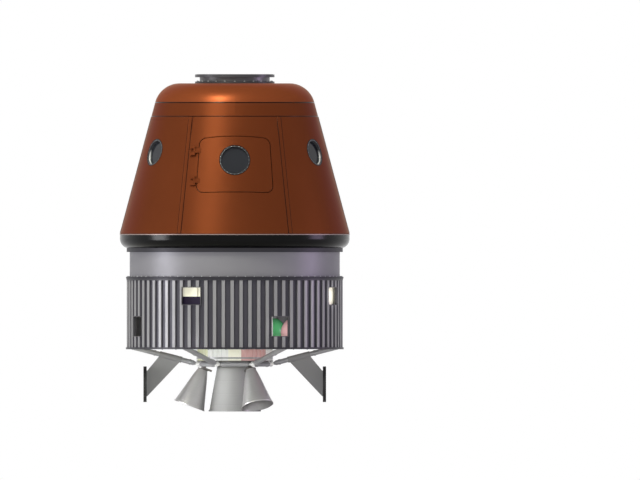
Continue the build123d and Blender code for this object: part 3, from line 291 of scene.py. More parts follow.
# %% [markdown]
# Some nodes are painted differently from place to place: the capsule's wall is brown outside and pale inside,
# and the service module's ribbed wall is dark in its valleys. Two more groups find those places. Reach gives a
# point's distance from the centre line and its height, and Band is 1 between two values, with soft ends.

# %% Effects that find a place
CREW_BASE_R, CREW_BASE_Z, CONE_TOP_R, CONE_TOP_Z, CROWN_TOP_Z = 1.550, 2.396, 1.075, 4.174, 4.431
SLOPE = (CREW_BASE_R - CONE_TOP_R) / (CONE_TOP_Z - CREW_BASE_Z)
CONE_ANGLE = atan2(CREW_BASE_R - CONE_TOP_R, CONE_TOP_Z - CREW_BASE_Z)
CROWN_ARC_R = (CROWN_TOP_Z - CONE_TOP_Z) / (1 - sin(CONE_ANGLE))
CROWN_CENTRE_R = CONE_TOP_R - CROWN_ARC_R * cos(CONE_ANGLE)


def cone_r(z):
    """Outside radius of the capsule's cone at a height."""
    return CREW_BASE_R - (z - CREW_BASE_Z) * SLOPE


def build_reach():
    """A point's distance from the centre line and its height."""
    group, _, out = open_group("reach", [], [("Radius", FLOAT), ("Height", FLOAT)])
    parts = make(group, "SeparateXYZ", {0: make(group, "TexCoord").outputs["Object"]}).outputs
    squares = [maths(group, "POWER", maths(group, "ABSOLUTE", parts[axis]), 2.0) for axis in "XY"]
    feed(group, maths(group, "SQRT", maths(group, "ADD", *squares)), out["Radius"])
    feed(group, parts["Z"], out["Height"])
    return group


def build_band():
    """A mask that is 1 where a value lies between two others, with soft ends."""
    group, given, out = open_group(
        "band",
        [("Value", FLOAT, 0.0), ("Low", FLOAT, 0.0), ("High", FLOAT, 1.0), ("Soft", FLOAT, 0.001)],
        [("Mask", FLOAT)],
    )
    low = maths(group, "SUBTRACT", given["Value"], given["Low"])
    high = maths(group, "SUBTRACT", given["High"], given["Value"])
    near = maths(group, "DIVIDE", maths(group, "MINIMUM", low, high), given["Soft"])
    feed(group, maths(group, "ADD", near, 0.5, clamp=True), out["Mask"])
    return group


REACH, BAND = build_reach(), build_band()
print("places:", REACH.name, BAND.name)

# %% [markdown]
# Every finish here is a coat or a bare metal on the same skeleton: a mottled colour, patchy gloss and a fine
# bump. One function lays that skeleton, and each finish then says what is its own. A second function paints
# over part of a finish through a mask.

# %% A finish's skeleton
FAR, BUMP_DEPTH = 100.0, 0.001


def finish(name, colour, roughness, metallic=0.0, specular=0.3, tint=None, mottle=(0.12, 2.0),
           grain=(260.0, 4.0), bump=0.05, patch=0.04):
    """A coat or a metal. mottle is amount and scale, grain is fine and coarse scale."""
    material = bpy.data.materials.new(name)
    material.use_nodes = True
    tree = material.node_tree
    shader = tree.nodes["Principled BSDF"].inputs
    shader["Metallic"].default_value = metallic
    shader["Specular IOR Level"].default_value = specular
    if tint is not None:
        shader["Specular Tint"].default_value = (*tint, 1)
    shades = make(tree, "Group", {"Color": (*colour, 1), "Amount": mottle[0], "Scale": mottle[1]}, node_tree=MOTTLE)
    fine = make(tree, "Group", {"Scale": grain[0], "Coarse": grain[1]}, node_tree=GRAIN).outputs
    gloss = make(tree, "MapRange", {"Value": fine["Patches"], "From Min": 0.3, "From Max": 0.7,
                                    "To Min": max(0.02, roughness - patch / 2),
                                    "To Max": min(1.0, roughness + patch / 2)})
    height = make(tree, "Bump", {"Height": fine["Height"], "Strength": bump, "Distance": BUMP_DEPTH})
    feed(tree, shades.outputs["Color"], shader["Base Color"])
    feed(tree, gloss.outputs["Result"], shader["Roughness"])
    feed(tree, height.outputs["Normal"], shader["Normal"])
    return material


def paint_over(material, mask, colour):
    """Lays a colour over what a finish has so far, where a mask is 1."""
    tree = material.node_tree
    base = tree.nodes["Principled BSDF"].inputs["Base Color"]
    under = base.links[0].from_socket
    mix = make(tree, "Mix", {"Factor": mask, "A": under, "B": (*colour, 1)}, data_type="RGBA")
    feed(tree, mix.outputs["Result"], base)


def reach_of(material):
    """The distance from the centre line and the height, as sockets in a material."""
    node = make(material.node_tree, "Group", node_tree=REACH)
    return node.outputs["Radius"], node.outputs["Height"]


def band_of(material, value, low, high, soft=0.001):
    """A mask socket that is 1 where a value socket lies between two numbers."""
    inputs = {"Value": value, "Low": low, "High": high, "Soft": soft}
    return make(material.node_tree, "Group", inputs, node_tree=BAND).outputs["Mask"]


def depth_of(material):
    """How far a point lies under the capsule's cone, as a socket, and the point's height."""
    tree, (radius, height) = material.node_tree, reach_of(material)
    edge = maths(tree, "SUBTRACT", CREW_BASE_R + CREW_BASE_Z * SLOPE, maths(tree, "MULTIPLY", height, SLOPE))
    return maths(tree, "SUBTRACT", edge, radius), height


print("the skeleton is ready")

# %% [markdown]
# The capsule's coat is a reddish brown with a dull, warm sheen: a little metal flake in a matt binder, so the
# streak of the key lamp turns orange. Below 60 mm of depth the same wall is the cabin's pale lining. The crown's
# coat is brighter, as painted light for the light that falls on its upward face. The crown is a dome, so its
# depth is measured from the dome's own centre circle, and its tunnel is pale too.

# %% The capsule's coat
BROWN, SHEEN_TINT = (0.098, 0.0236, 0.0080), (0.70, 0.38, 0.18)
LINING, LINING_DEPTH = (0.66, 0.67, 0.65), 0.060
CROWN_LIGHT_GAIN, TUNNEL_REACH = 1.70, 0.45


def brown_coat(name, lit_gain=1.0):
    """The capsule's sprayed coat. The dome's is brighter by a gain, as painted light for its upward face."""
    return finish(name, [lit_gain * part for part in BROWN], 0.37, metallic=0.52, specular=0.07, tint=SHEEN_TINT,
                  mottle=(0.14, 1.7), grain=(420.0, 3.0), bump=0.06, patch=0.05)


cone_coat = brown_coat("ablator_brown")
paint_over(cone_coat, band_of(cone_coat, depth_of(cone_coat)[0], LINING_DEPTH, FAR), LINING)

# Painted light: the crown's brown is 1.7 times as bright, for the light that falls on its upward face.
crown_coat = brown_coat("crown_brown", CROWN_LIGHT_GAIN)
radius, height = reach_of(crown_coat)
crown_tree = crown_coat.node_tree
out = maths(crown_tree, "MAXIMUM", maths(crown_tree, "SUBTRACT", radius, CROWN_CENTRE_R), 0.0)
up = maths(crown_tree, "SUBTRACT", height, CROWN_TOP_Z - CROWN_ARC_R)
squares = maths(crown_tree, "ADD", maths(crown_tree, "MULTIPLY", out, out), maths(crown_tree, "MULTIPLY", up, up))
from_circle = maths(crown_tree, "SQRT", squares)
paint_over(crown_coat, band_of(crown_coat, from_circle, -1.0, CROWN_ARC_R - LINING_DEPTH), LINING)
paint_over(crown_coat, band_of(crown_coat, radius, 0.0, TUNNEL_REACH), LINING)
print("brown coats with a pale lining")

# %% [markdown]
# The service module is painted grey. Its wall is a thin skin with hat-shaped ribs outside: the crests are
# light, the valleys between them and the lower flanks of the ribs are dark as painted shade, and the inside is pale.
# Its rings and the adapter's foot, head flange and top are dark as painted shade. The centre tube is white, and
# eight bands of cream and pink are laid on it by azimuth as painted light.

# %% The service module's coats
PAINTED_SHADE_GREY, VALLEY_SHADE_GREY, INSIDE_GREY = (0.030, 0.029, 0.036), (0.050, 0.048, 0.060), (0.20, 0.20, 0.21)
FLANK_R, SKIN_INNER_R, FLANK_SOFT = 1.4505, 1.4215, 0.007
ADAPTER_FOOT_TOP, ADAPTER_HEAD_FOOT, ADAPTER_HEAD_TOP = 1.8205, 2.1525, 2.1665

wall_coat = finish("wall_grey", (0.215, 0.212, 0.226), 0.40, metallic=0.34, specular=0.08, mottle=(0.08, 3.0))
radius, height = reach_of(wall_coat)
# Painted shade: the valleys and the lower flanks of the ribs are darker grey.
paint_over(wall_coat, band_of(wall_coat, radius, SKIN_INNER_R, FLANK_R, FLANK_SOFT), VALLEY_SHADE_GREY)
paint_over(wall_coat, band_of(wall_coat, radius, 0.0, SKIN_INNER_R), INSIDE_GREY)

shell_coat = finish("shell_grey", (0.172, 0.169, 0.188), 0.44, metallic=0.34, specular=0.06, mottle=(0.04, 1.5))
# Painted shade: the service module's two rings are dark.
ring_shade_coat = finish("ring_shadow_grey", PAINTED_SHADE_GREY, 0.42, metallic=0.3, specular=0.2)
radius, height = reach_of(shell_coat)
# Painted shade: the adapter's foot, its head flange and the part above it are dark.
for low, high, colour in ((0.0, ADAPTER_FOOT_TOP, PAINTED_SHADE_GREY), (ADAPTER_HEAD_FOOT, ADAPTER_HEAD_TOP, PAINTED_SHADE_GREY),
                          (ADAPTER_HEAD_TOP, FAR, (0.035, 0.034, 0.040))):
    paint_over(shell_coat, band_of(shell_coat, height, low, high), colour)

tube_coat = finish("tube_light_bands", (0.95, 0.95, 0.95), 0.45, specular=0.2, mottle=(0.05, 4.0))
tube_tree = tube_coat.node_tree
parts = make(tube_tree, "SeparateXYZ", {0: make(tube_tree, "TexCoord").outputs["Object"]}).outputs
turn = maths(tube_tree, "ARCTAN2", parts["X"], maths(tube_tree, "MULTIPLY", parts["Y"], -1.0))
turn = maths(tube_tree, "MODULO", maths(tube_tree, "ADD", turn, 4 * pi), pi)
# Painted light: cream and pink bands on the white tube stand for the warm and violet light that falls on it.
TUBE_LIGHT_BANDS = (
    # start and end in degrees from the front, repeated after half a turn, and colour
    (0, 10, (0.97, 0.96, 0.84)),
    (170, 180, (0.97, 0.96, 0.84)),
    (10, 55, (0.72, 0.46, 0.45)),
    (100, 135, (0.86, 0.86, 0.68)),
)
for low, high, colour in TUBE_LIGHT_BANDS:
    paint_over(tube_coat, band_of(tube_coat, turn, radians(low), radians(high), 0.002), colour)
print("grey coats, dark valleys and", len(TUBE_LIGHT_BANDS), "bands of painted light")

# %% [markdown]
# The docking ring's barrel is lighter than its flanges. The side windows' sleeves are dark at their face and
# pale below it, in the lower half of each only: the sleeve is pale metal, and its upper half keeps the dark as painted
# shade.

# %% Coats of the docking ring and windows
DOCK_BARREL, BARREL_GREY = (4.456, 4.5115), (0.12, 0.117, 0.128)
SLEEVE_DEPTH, SHADE_ABOVE_Z, PALE_SLEEVE = (0.017, 0.085), 3.50, (0.90, 0.90, 0.92)

dock_coat = finish("ring_dark", (0.045, 0.043, 0.050), 0.36, metallic=0.4)
radius, height = reach_of(dock_coat)
paint_over(dock_coat, band_of(dock_coat, height, *DOCK_BARREL), BARREL_GREY)

sleeve_coat = finish("window_ring", (0.050, 0.050, 0.056), 0.34, metallic=0.3)
depth, height = depth_of(sleeve_coat)
in_sleeve = band_of(sleeve_coat, depth, *SLEEVE_DEPTH, 0.004)
# The sleeve's pale metal stops halfway up. Above that the dark face colour stays, as painted shade.
below_painted_shade = band_of(sleeve_coat, height, 0.0, SHADE_ABOVE_Z, 0.07)
paint_over(sleeve_coat, maths(sleeve_coat.node_tree, "MULTIPLY", in_sleeve, below_painted_shade), PALE_SLEEVE)
side_bell = finish("side_bell_metal", (0.54, 0.53, 0.53), 0.36, metallic=0.55, mottle=(0.05, 2.0))
print("dock, window and side bell coats")

# %% [markdown]
# The other finishes need no painting over, so one row each is enough: the material slot, its colour and
# roughness, and what else is its own. Every node takes its slot's finish, and a few have a coat of their own.

# %% Finishes
FINISHES = {"ablator_brown": cone_coat, "ring_dark": dock_coat, "shell_grey": shell_coat, "wall_grey": wall_coat,
            "hinge_metal": brown_coat("hinge_brown"),
            "window_ring": finish("fitting_metal", (0.25, 0.25, 0.27), 0.3, metallic=0.5)}
for name, colour, roughness, rest in (
    # material slot, colour, roughness, and what else is its own
    ("shield_black", (0.0014, 0.0014, 0.0016), 0.19, {"specular": 0.10, "bump": 0.03, "patch": 0.03}),
    ("light_seam", (0.20, 0.15, 0.145), 0.4, {"metallic": 0.3}),
    ("frame_grey", (0.065, 0.063, 0.072), 0.45, {"metallic": 0.3}),
    ("joint_white", (0.85, 0.85, 0.85), 0.4, {}),
    ("deck_grey", (0.30, 0.30, 0.31), 0.5, {}),
    ("tube_grey", (0.36, 0.36, 0.38), 0.30, {"metallic": 0.35}),
    ("tank_green", (0.10, 0.44, 0.17), 0.20, {"specular": 0.6}),
    ("tank_pink", (0.88, 0.52, 0.53), 0.20, {"specular": 0.6}),
    ("tank_cream", (0.90, 0.85, 0.62), 0.22, {"specular": 0.5}),
    ("tank_silver", (0.62, 0.62, 0.63), 0.22, {"metallic": 0.8}),
    ("box_cream", (0.94, 0.91, 0.76), 0.5, {}),
    ("box_dark", (0.012, 0.008, 0.022), 0.5, {"specular": 0.15}),
    ("nozzle_metal", (0.34, 0.34, 0.336), 0.55, {"metallic": 0.20, "specular": 0.15, "mottle": (0.05, 2.0)}),
    ("engine_metal", (0.18, 0.17, 0.16), 0.4, {"metallic": 0.8}),
    ("antenna_grey", (0.024, 0.024, 0.025), 0.5, {}),
    ("arm_grey", (0.25, 0.25, 0.255), 0.5, {"specular": 0.12}),
    ("window_glass", (0.012, 0.013, 0.017), 0.06, {"specular": 0.2, "bump": 0.0}),
    ("cabin_grey", (0.54, 0.55, 0.54), 0.5, {}),
    ("couch_fabric", (0.075, 0.09, 0.12), 0.8, {}),
    ("console_grey", (0.09, 0.095, 0.105), 0.45, {}),
):
    FINISHES[name] = finish(name, colour, roughness, **rest)
NODE_FINISHES = {
    # nodes whose own coat differs from their slot's
    "crown_dome": crown_coat,
    "service_base_ring": ring_shade_coat,
    "service_top_ring": ring_shade_coat,
    "thrust_tube": tube_coat,
    "side_window_frames": sleeve_coat,
    "hatch_window_frame": finish("hatch_ring_dark", (0.022, 0.023, 0.027), 0.4, metallic=0.2),
    **{side + "_side_nozzle": side_bell for side in ("right", "rear", "left")},
}
for part in frame["record"]["subparts"]:
    for held in nodes[part["node"]].material_slots:
        held.material = NODE_FINISHES.get(part["node"], FINISHES[part["material_slot"]])

# %% [markdown]
# From here on, small pieces are modelled by hand on top of the fixed solids. Most of them are turned, bent or
# repeated, so a few helpers come first. A turned piece starts as one corner that is drawn along its section
# and spun about the centre line, as on a lathe. A repeated piece, such as a bolt, is modelled once as a seed,
# and each place gets its own copy.

# %% Helpers for modelling
X_WAY = Vector((1, 0, 0))


def only(*pieces):
    """Selects these objects and nothing else."""
    bpy.ops.object.select_all(action="DESELECT")
    for piece in pieces:
        piece.select_set(True)
    bpy.context.view_layer.objects.active = pieces[0]


def sized(primitive, name, size, **options):
    """A new mesh from a unit primitive, stretched to a size."""
    piece = begin(primitive, name, size=1, **options)
    piece.scale = size
    bpy.ops.object.transform_apply(location=True, rotation=True, scale=True)
    return piece


def joined(name, pieces):
    """Several pieces joined into the first one, under a name."""
    only(*pieces)
    bpy.ops.object.join()
    pieces[0].name = name
    return pieces[0]


def applied(piece, kind, **settings):
    """Gives the active piece a modifier with its settings and applies it."""
    modifier = piece.modifiers.new(kind.lower(), kind)
    for label, value in settings.items():
        setattr(modifier, label, value)
    bpy.ops.object.modifier_apply(modifier=modifier.name)


def pick_top(piece):
    """Opens edit mode with the faces selected that look up."""
    only(piece)
    bpy.ops.object.mode_set(mode="EDIT")
    bpy.ops.mesh.select_mode(type="FACE")
    bpy.ops.mesh.select_all(action="DESELECT")
    mesh = bmesh.from_edit_mesh(piece.data)
    for face in mesh.faces:
        if face.normal.z > 0.9:
            face.select_set(True)
    bmesh.update_edit_mesh(piece.data)


def close_edit():
    """Back to object mode."""
    bpy.ops.object.mode_set(mode="OBJECT")


def draw_out(x, y, z):
    """Extrudes what is selected by a step."""
    bpy.ops.mesh.extrude_region_move(TRANSFORM_OT_translate={"value": (x, y, z)})


def turned(name, section, steps=96, start=0.0, sweep=360.0):
    """A piece turned about the centre line from a closed section of (radius, height) corners."""
    piece = begin(bpy.ops.mesh.primitive_plane_add, name, size=0.01)
    bpy.ops.object.mode_set(mode="EDIT")
    bpy.ops.mesh.select_mode(type="VERT")
    bpy.ops.mesh.select_all(action="SELECT")
    bpy.ops.mesh.merge(type="CENTER")
    line = [ring_point(r, start, z) for r, z in (*section, section[0])]
    bpy.ops.transform.translate(value=line[0])
    for here, there in zip(line, line[1:]):
        draw_out(*(there - here))
    bpy.ops.mesh.select_all(action="SELECT")
    bpy.ops.mesh.spin(steps=steps, angle=radians(sweep), center=(0, 0, 0), axis=(0, 0, 1))
    bpy.ops.mesh.select_all(action="SELECT")
    bpy.ops.mesh.remove_doubles(threshold=1e-6)
    if sweep < 360:
        bpy.ops.mesh.fill_holes(sides=0)
        bpy.ops.mesh.select_all(action="SELECT")
    bpy.ops.mesh.normals_make_consistent(inside=False)
    close_edit()
    return piece


def shift(x, y, z):
    """A step, as a place."""
    return Matrix.Translation((x, y, z))


def swing(angle, axis="Z"):
    """A turn in degrees, as a place."""
    return Matrix.Rotation(radians(angle), 4, axis)


def axes(x_way, y_way, z_way, point):
    """A place from its three directions and its origin."""
    place = Matrix((x_way, y_way, z_way)).transposed().to_4x4()
    place.translation = point
    return place


def outward(radius, azimuth, z, lean=0.0):
    """A place on a body of revolution: local Z points out, X to the right and Y up the surface."""
    right, out = way_out(azimuth + 90), way_out(azimuth, lean)
    return axes(right, out.cross(right), out, ring_point(radius, azimuth, z))


def facing(point, way):
    """A place at a point whose local Z points along a way."""
    place = Vector(way).to_track_quat("Z", "Y").to_matrix().to_4x4()
    place.translation = Vector(point)
    return place


def around(count, radius, z, start=0.0):
    """Places round the centre line that face up."""
    return [swing(start + i * 360 / count) @ shift(0, -radius, z) for i in range(count)]


def move_mesh(piece, place):
    """Puts a piece in its place, with the place in its mesh."""
    piece.matrix_world = place @ piece.matrix_world
    only(piece)
    bpy.ops.object.transform_apply(location=True, rotation=True, scale=True)
    return piece


def copied(seed, place):
    """A copy of a piece with its mesh moved to a place."""
    copy = seed.copy()
    copy.data = seed.data.copy()
    copy.data.transform(place)
    scene.collection.objects.link(copy)
    return copy


def scatter(name, seed, places):
    """One piece from a seed copied to each place. The seed itself goes."""
    copies = [copied(seed, place) for place in places]
    bpy.data.objects.remove(seed)
    return joined(name, copies)


def done(piece, body, slot, material=None, angle=35, bevel=0.0, segments=2):
    """Ends a piece: rounds its edges if asked, smooths it, puts its origin at the frame's, names its body."""
    only(piece)
    if bevel:
        applied(piece, "BEVEL", width=bevel, segments=segments, limit_method="ANGLE", angle_limit=radians(angle))
    bpy.ops.object.transform_apply(location=True, rotation=True, scale=True)
    bpy.ops.object.shade_smooth_by_angle(angle=radians(angle))
    if not piece.data.polygons:
        raise ValueError(piece.name + " has no faces")
    piece.data.materials.clear()
    piece.data.materials.append(material or FINISHES[slot])
    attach(piece, body)
    print(piece.name, len(piece.data.polygons), "faces, rides on", body)
    return piece


def block(name, size, place, inset=0.0, sink=0.0):
    """A block about a place; its outer face may get an inset panel, sunk or raised."""
    piece = sized(bpy.ops.mesh.primitive_cube_add, name, size)
    if inset:
        pick_top(piece)
        bpy.ops.mesh.inset(thickness=inset)
        bpy.ops.transform.translate(value=(0, 0, -sink))
        close_edit()
    return move_mesh(piece, place)


def bent_rod(name, points, thickness, closed=False):
    """A round rod that bends smoothly along a line of points, or a bead that closes on itself."""
    curve = bpy.data.curves.new(name, "CURVE")
    curve.dimensions = "3D"
    curve.bevel_depth = thickness
    curve.bevel_resolution = 3
    curve.use_fill_caps = not closed
    spline = curve.splines.new("POLY" if closed else "NURBS")
    spline.points.add(len(points) - 1)
    for knot, point in zip(spline.points, points):
        knot.co = (*point, 1)
    if not closed:
        spline.order_u = 3
        spline.use_endpoint_u = True
        spline.resolution_u = 6
    spline.use_cyclic_u = closed
    piece = bpy.data.objects.new(name, curve)
    scene.collection.objects.link(piece)
    only(piece)
    bpy.ops.object.convert(target="MESH")
    return bpy.context.object


def stud(name, sides, radius, height, inset):
    """A short cylinder in edit mode, with its upper face inset."""
    piece = begin(bpy.ops.mesh.primitive_cylinder_add, name, vertices=sides, radius=radius, depth=height)
    pick_top(piece)
    bpy.ops.mesh.inset(thickness=inset)
    return piece


def bolt(washer_r, washer_t, head_r, head_h, sides=12):
    """A bolt seen from its head: a washer, a head drawn up from it, and a sunk socket."""
    piece = stud("bolt", sides, washer_r, 2 * washer_t, washer_r - head_r)
    draw_out(0, 0, head_h)
    bpy.ops.mesh.inset(thickness=0.4 * head_r)
    draw_out(0, 0, -0.5 * head_h)
    close_edit()
    return piece


def rivet(radius, rise):
    """A low round rivet head."""
    piece = stud("rivet", 8, radius, rise, 0.35 * radius)
    bpy.ops.transform.translate(value=(0, 0, 0.5 * rise))
    close_edit()
    return piece


print("helpers are ready")

# %% [markdown]
# The capsule's heat-resistant panels meet at six seams. On the front two the picture shows a flat batten with a
# thin dark line at each edge. The batten covers the joint and the lines are the sealant under it. Each batten
# is a bevelled strip laid up the cone, and the sealant is a wider, thinner strip below it.

# %% Seam battens
BATTEN_W, BATTEN_RISE, SEALANT_LAP, SEALANT_RISE = 0.050, 0.0042, 0.0075, 0.0014
FOOT_Z, HEAD_Z = 2.404, 3.978
SEAMS = ((-29.1, -31.9), (29.1, 31.9), (-90, -90), (90, 90), (-150, -150), (150, 150))
SCREW_STEPS, SCREW_SIDE, SCREW_END = 16, 0.016, 0.030


def cone_point(azimuth, z, out=0.0):
    """A point on the capsule's cone, or a little outside it."""
    return ring_point(cone_r(z) + out, azimuth, z)


def climb(low_azimuth, high_azimuth):
    """The middle of a line up the cone: local Y runs along it and local Z points out. Its length comes too."""
    low, high = cone_point(low_azimuth, FOOT_Z), cone_point(high_azimuth, HEAD_Z)
    up = (high - low).normalized()
    right = up.cross(way_out((low_azimuth + high_azimuth) / 2, CONE_ANGLE)).normalized()
    return axes(right, up, right.cross(up), (low + high) / 2), (high - low).length


battens, sealant, batten_screws = [], [], []
for low_azimuth, high_azimuth in SEAMS:
    place, length = climb(low_azimuth, high_azimuth)
    battens.append(block("batten", (BATTEN_W, length, 2 * BATTEN_RISE), place, inset=0.004, sink=0.0008))
    wide = (BATTEN_W + 2 * SEALANT_LAP, length, 2 * SEALANT_RISE)
    sealant.append(block("sealant", wide, place, inset=0.002, sink=0.0004))
    for i in range(SCREW_STEPS + 1):
        along = (i / SCREW_STEPS - 0.5) * (length - 2 * SCREW_END)
        batten_screws += [place @ shift(side * SCREW_SIDE, along, BATTEN_RISE - 0.001) for side in (-1, 1)]
done(joined("seam_battens", battens), "root", "ablator_brown", bevel=0.0006, segments=1)
done(joined("seam_sealant", sealant), "root", "shield_black", bevel=0.0006, segments=1)
done(scatter("batten_screws", rivet(0.0045, 0.0016), batten_screws), "root", "ablator_brown")

# %% [markdown]
# Two dark beads of sealant go round the capsule, above and below the crown's band, and they are the strongest
# lines in the picture. A flat doubler lies under the lower one, between the two front battens.

# %% Beads and doubler
BEAD_RISE, BEAD_EDGE_RISE, BEAD_ROOT = 0.0016, 0.0004, 0.003
DOUBLER_LOW, DOUBLER_HIGH, DOUBLER_AZIMUTH, DOUBLER_RISE, DOUBLER_ROOT = 3.944, 3.972, 30.4, 0.003, 0.004


def bead(name, z, width):
    """A ring of sealant with a low round back that lies on the cone."""
    low, high = z - width / 2, z + width / 2
    section = [(cone_r(low) - BEAD_ROOT, low), (cone_r(low) + BEAD_EDGE_RISE, low), (cone_r(z) + BEAD_RISE, z),
               (cone_r(high) + BEAD_EDGE_RISE, high), (cone_r(high) - BEAD_ROOT, high)]
    return done(turned(name, section, steps=144), "root", "shield_black", angle=60)


bead("crown_bead", 4.172, 0.012)
bead("band_bead", 3.986, 0.007)
low_r, high_r = cone_r(DOUBLER_LOW), cone_r(DOUBLER_HIGH)
section = [(low_r - DOUBLER_ROOT, DOUBLER_LOW), (low_r + DOUBLER_RISE, DOUBLER_LOW),
           (high_r + DOUBLER_RISE, DOUBLER_HIGH), (high_r - DOUBLER_ROOT, DOUBLER_HIGH)]
doubler = turned("front_doubler", section, 40, -DOUBLER_AZIMUTH, 2 * DOUBLER_AZIMUTH)
done(doubler, "root", "ablator_brown", bevel=0.0008)

# %% [markdown]
# Every window is a sandwich of panes in a metal ring, held by a retainer with countersunk screws, and a rubber
# bead seals it to the panel. The side rings follow the cone, so their beads and screws are placed by their
# distance along the surface. Thin rods make the beads and one seed makes all the screws.

# %% Window beads and screws
WINDOWS = (
    # azimuth, height, ring radius, number of screws, body, name
    (0, 3.394, 0.205, 24, "hatch_body", "hatch_window"),
    (-60, 3.499, 0.182, 20, "root", "left_window"),
    (60, 3.499, 0.182, 20, "root", "right_window"),
)
RING_W = 0.018


def circle_on_cone(azimuth, z, radius, count, out=0.0):
    """Points of a circle that lies on the cone or a little outside it."""
    points = []
    for t in [2 * pi * i / count for i in range(count)]:
        high = z + radius * sin(t) * cos(CONE_ANGLE)
        points.append(cone_point(azimuth + degrees(radius * cos(t) / cone_r(high)), high, out))
    return points


def on_wall(point):
    """A place at a point of the capsule's wall: local Z points out and Y up the cone."""
    return outward(sqrt(point.x**2 + point.y**2), degrees(atan2(point.x, -point.y)), point.z, CONE_ANGLE)


for azimuth, z, ring_r, count, body, name in WINDOWS:
    gasket = bent_rod(name + "_bead", circle_on_cone(azimuth, z, ring_r + 0.001, 72, 0.0005), 0.0045, closed=True)
    done(gasket, body, "shield_black", angle=60)
    places = [on_wall(point) for point in circle_on_cone(azimuth, z, ring_r - RING_W / 2, count)]
    done(scatter(name + "_screws", rivet(0.0042, 0.0018), places), body, "window_ring")

# %% [markdown]
# The crew hatch closes into a round-cornered opening. A rubber seal runs in the gap on the panel's side, so it
# stays when the hatch swings. The outline is a trapezium with rounded corners, drawn square to the door's
# middle, and its edges lean inwards. The same function gives the inner seal and frame and the latches' places.

# %% Hatch seal
HATCH_Z, HATCH_LOW_W, HATCH_HIGH_W, HATCH_LEN, HATCH_CORNER = 3.341, 1.0632, 0.9588, 0.770, 0.100
HATCH_DRAFT, DRAFT_STEP, CORNER_STEPS, SIDE_STEPS, END_STEPS = radians(8), 0.02, 12, 30, 22


def hatch_outline(grow):
    """Points (across, along the slope) of the hatch's flat outline, grown or shrunk."""
    half, low, high = HATCH_LEN / 2 + grow, HATCH_LOW_W / 2 + grow, HATCH_HIGH_W / 2 + grow
    corners = [Vector((low, -half)), Vector((high, half)), Vector((-high, half)), Vector((-low, -half))]
    arcs, radius = [], HATCH_CORNER + grow
    for i, corner in enumerate(corners):
        back, ahead = (corners[i - 1] - corner).normalized(), (corners[(i + 1) % 4] - corner).normalized()
        half_angle = back.angle(ahead) / 2
        middle = corner + (back + ahead).normalized() * radius / sin(half_angle)
        start, end = (corner + way * radius / tan(half_angle) - middle for way in (back, ahead))
        ways = [start.lerp(end, step / CORNER_STEPS).normalized() for step in range(CORNER_STEPS + 1)]
        arcs.append([middle + way * radius for way in ways])
    line = []
    for i, arc in enumerate(arcs):
        count, following = SIDE_STEPS if i % 2 else END_STEPS, arcs[(i + 1) % 4][0]
        line += arc + [arc[-1].lerp(following, step / count) for step in range(1, count)]
    return line


def hatch_edge(grow, depth):
    """Points round the hatch at a depth under the cone. Its edges lean inwards, square to the door's middle."""
    slope, outwards = Vector((0, sin(CONE_ANGLE), cos(CONE_ANGLE))), way_out(0, CONE_ANGLE)
    line = []
    for flat, shrunk in zip(hatch_outline(grow), hatch_outline(grow - DRAFT_STEP)):
        drop = depth
        for _ in range(8):
            across, along = flat + (shrunk - flat) * (drop * tan(HATCH_DRAFT) / DRAFT_STEP)
            point = Vector((across, -cone_r(HATCH_Z), HATCH_Z)) + slope * along - outwards * drop
            drop += depth - (cone_r(point.z) - sqrt(point.x**2 + point.y**2)) * cos(CONE_ANGLE)
        line.append(point)
    return line


seal = bent_rod("hatch_seal", hatch_edge(0.0052, 0.016), 0.0033, closed=True)
done(seal, "root", "shield_black", angle=60)

# %% [markdown]
# Seen from inside, the crew hatch is a pressure door. A rim seal follows its outline, a frame of ribs stiffens
# it round the window, and a gearbox with a crank drives rods out to the latches on its edge. These show when
# the hatch is open. The ribs are bevelled bars, laid on the curved inner face by its depth under the cone.

# %% Inside of the crew hatch
HATCH_T, RIB_W, RIB_H, RIB_SIT = 0.078, 0.022, 0.020, 0.002
RIBS = (
    # middle across and up, size across and up, on both sides
    (0.265, 3.345, RIB_W, 0.56),
    (0.385, 3.345, RIB_W, 0.50),
    (0.325, 3.22, 0.10, RIB_W),
    (0.325, 3.49, 0.10, RIB_W),
)


def wall_point(across, z, depth):
    """The point of the front wall at a distance across, a height and a depth under the cone."""
    r = cone_r(z) - depth / cos(CONE_ANGLE)
    return Vector((across, -sqrt(r * r - across * across), z))


def inner_face(across, z):
    """The place on the hatch's inner face: local Z points into the cabin, Y up, X across."""
    return on_wall(wall_point(across, z, HATCH_T)) @ swing(180, "Y")


rim = bent_rod("hatch_rim_seal", hatch_edge(-0.012, HATCH_T - 0.001), 0.0025, closed=True)
done(rim, "hatch_body", "shield_black", angle=60)
rim_frame = bent_rod("hatch_rim_frame", hatch_edge(-0.070, HATCH_T + 0.002), 0.008, closed=True)
done(rim_frame, "hatch_body", "frame_grey", angle=60)
ribs = []
for across, z, width, length in RIBS:
    for side in (-1, 1):
        place = inner_face(side * across, z) @ shift(0, 0, RIB_H / 2 - RIB_SIT)
        ribs.append(block("rib", (width, length, RIB_H), place, inset=0.005, sink=0.003))
done(joined("hatch_ribs", ribs), "hatch_body", "cabin_grey", bevel=0.003)

# %% [markdown]
# The gearbox sits low on the door. Its crank is a bent rod with a turned knob, two rods run out from it to each
# side, and the ten latches stand on the outline of the inner face, at the points nearest to where they are wanted.

# %% Latch gear of the crew hatch
GEAR_Z, GEAR_R, GEAR_H, ROD_DEPTH, LATCH_ROD_R = 3.075, 0.055, 0.040, 0.014, 0.006
CRANK_END, CRANK_TIP = (0.150, 0.045, GEAR_H + 0.016), (0.156, 0.047)
LATCHES = ((0.50, 3.15), (0.50, 3.34), (0.48, 3.53), (0.28, 2.98), (0.26, 3.70))

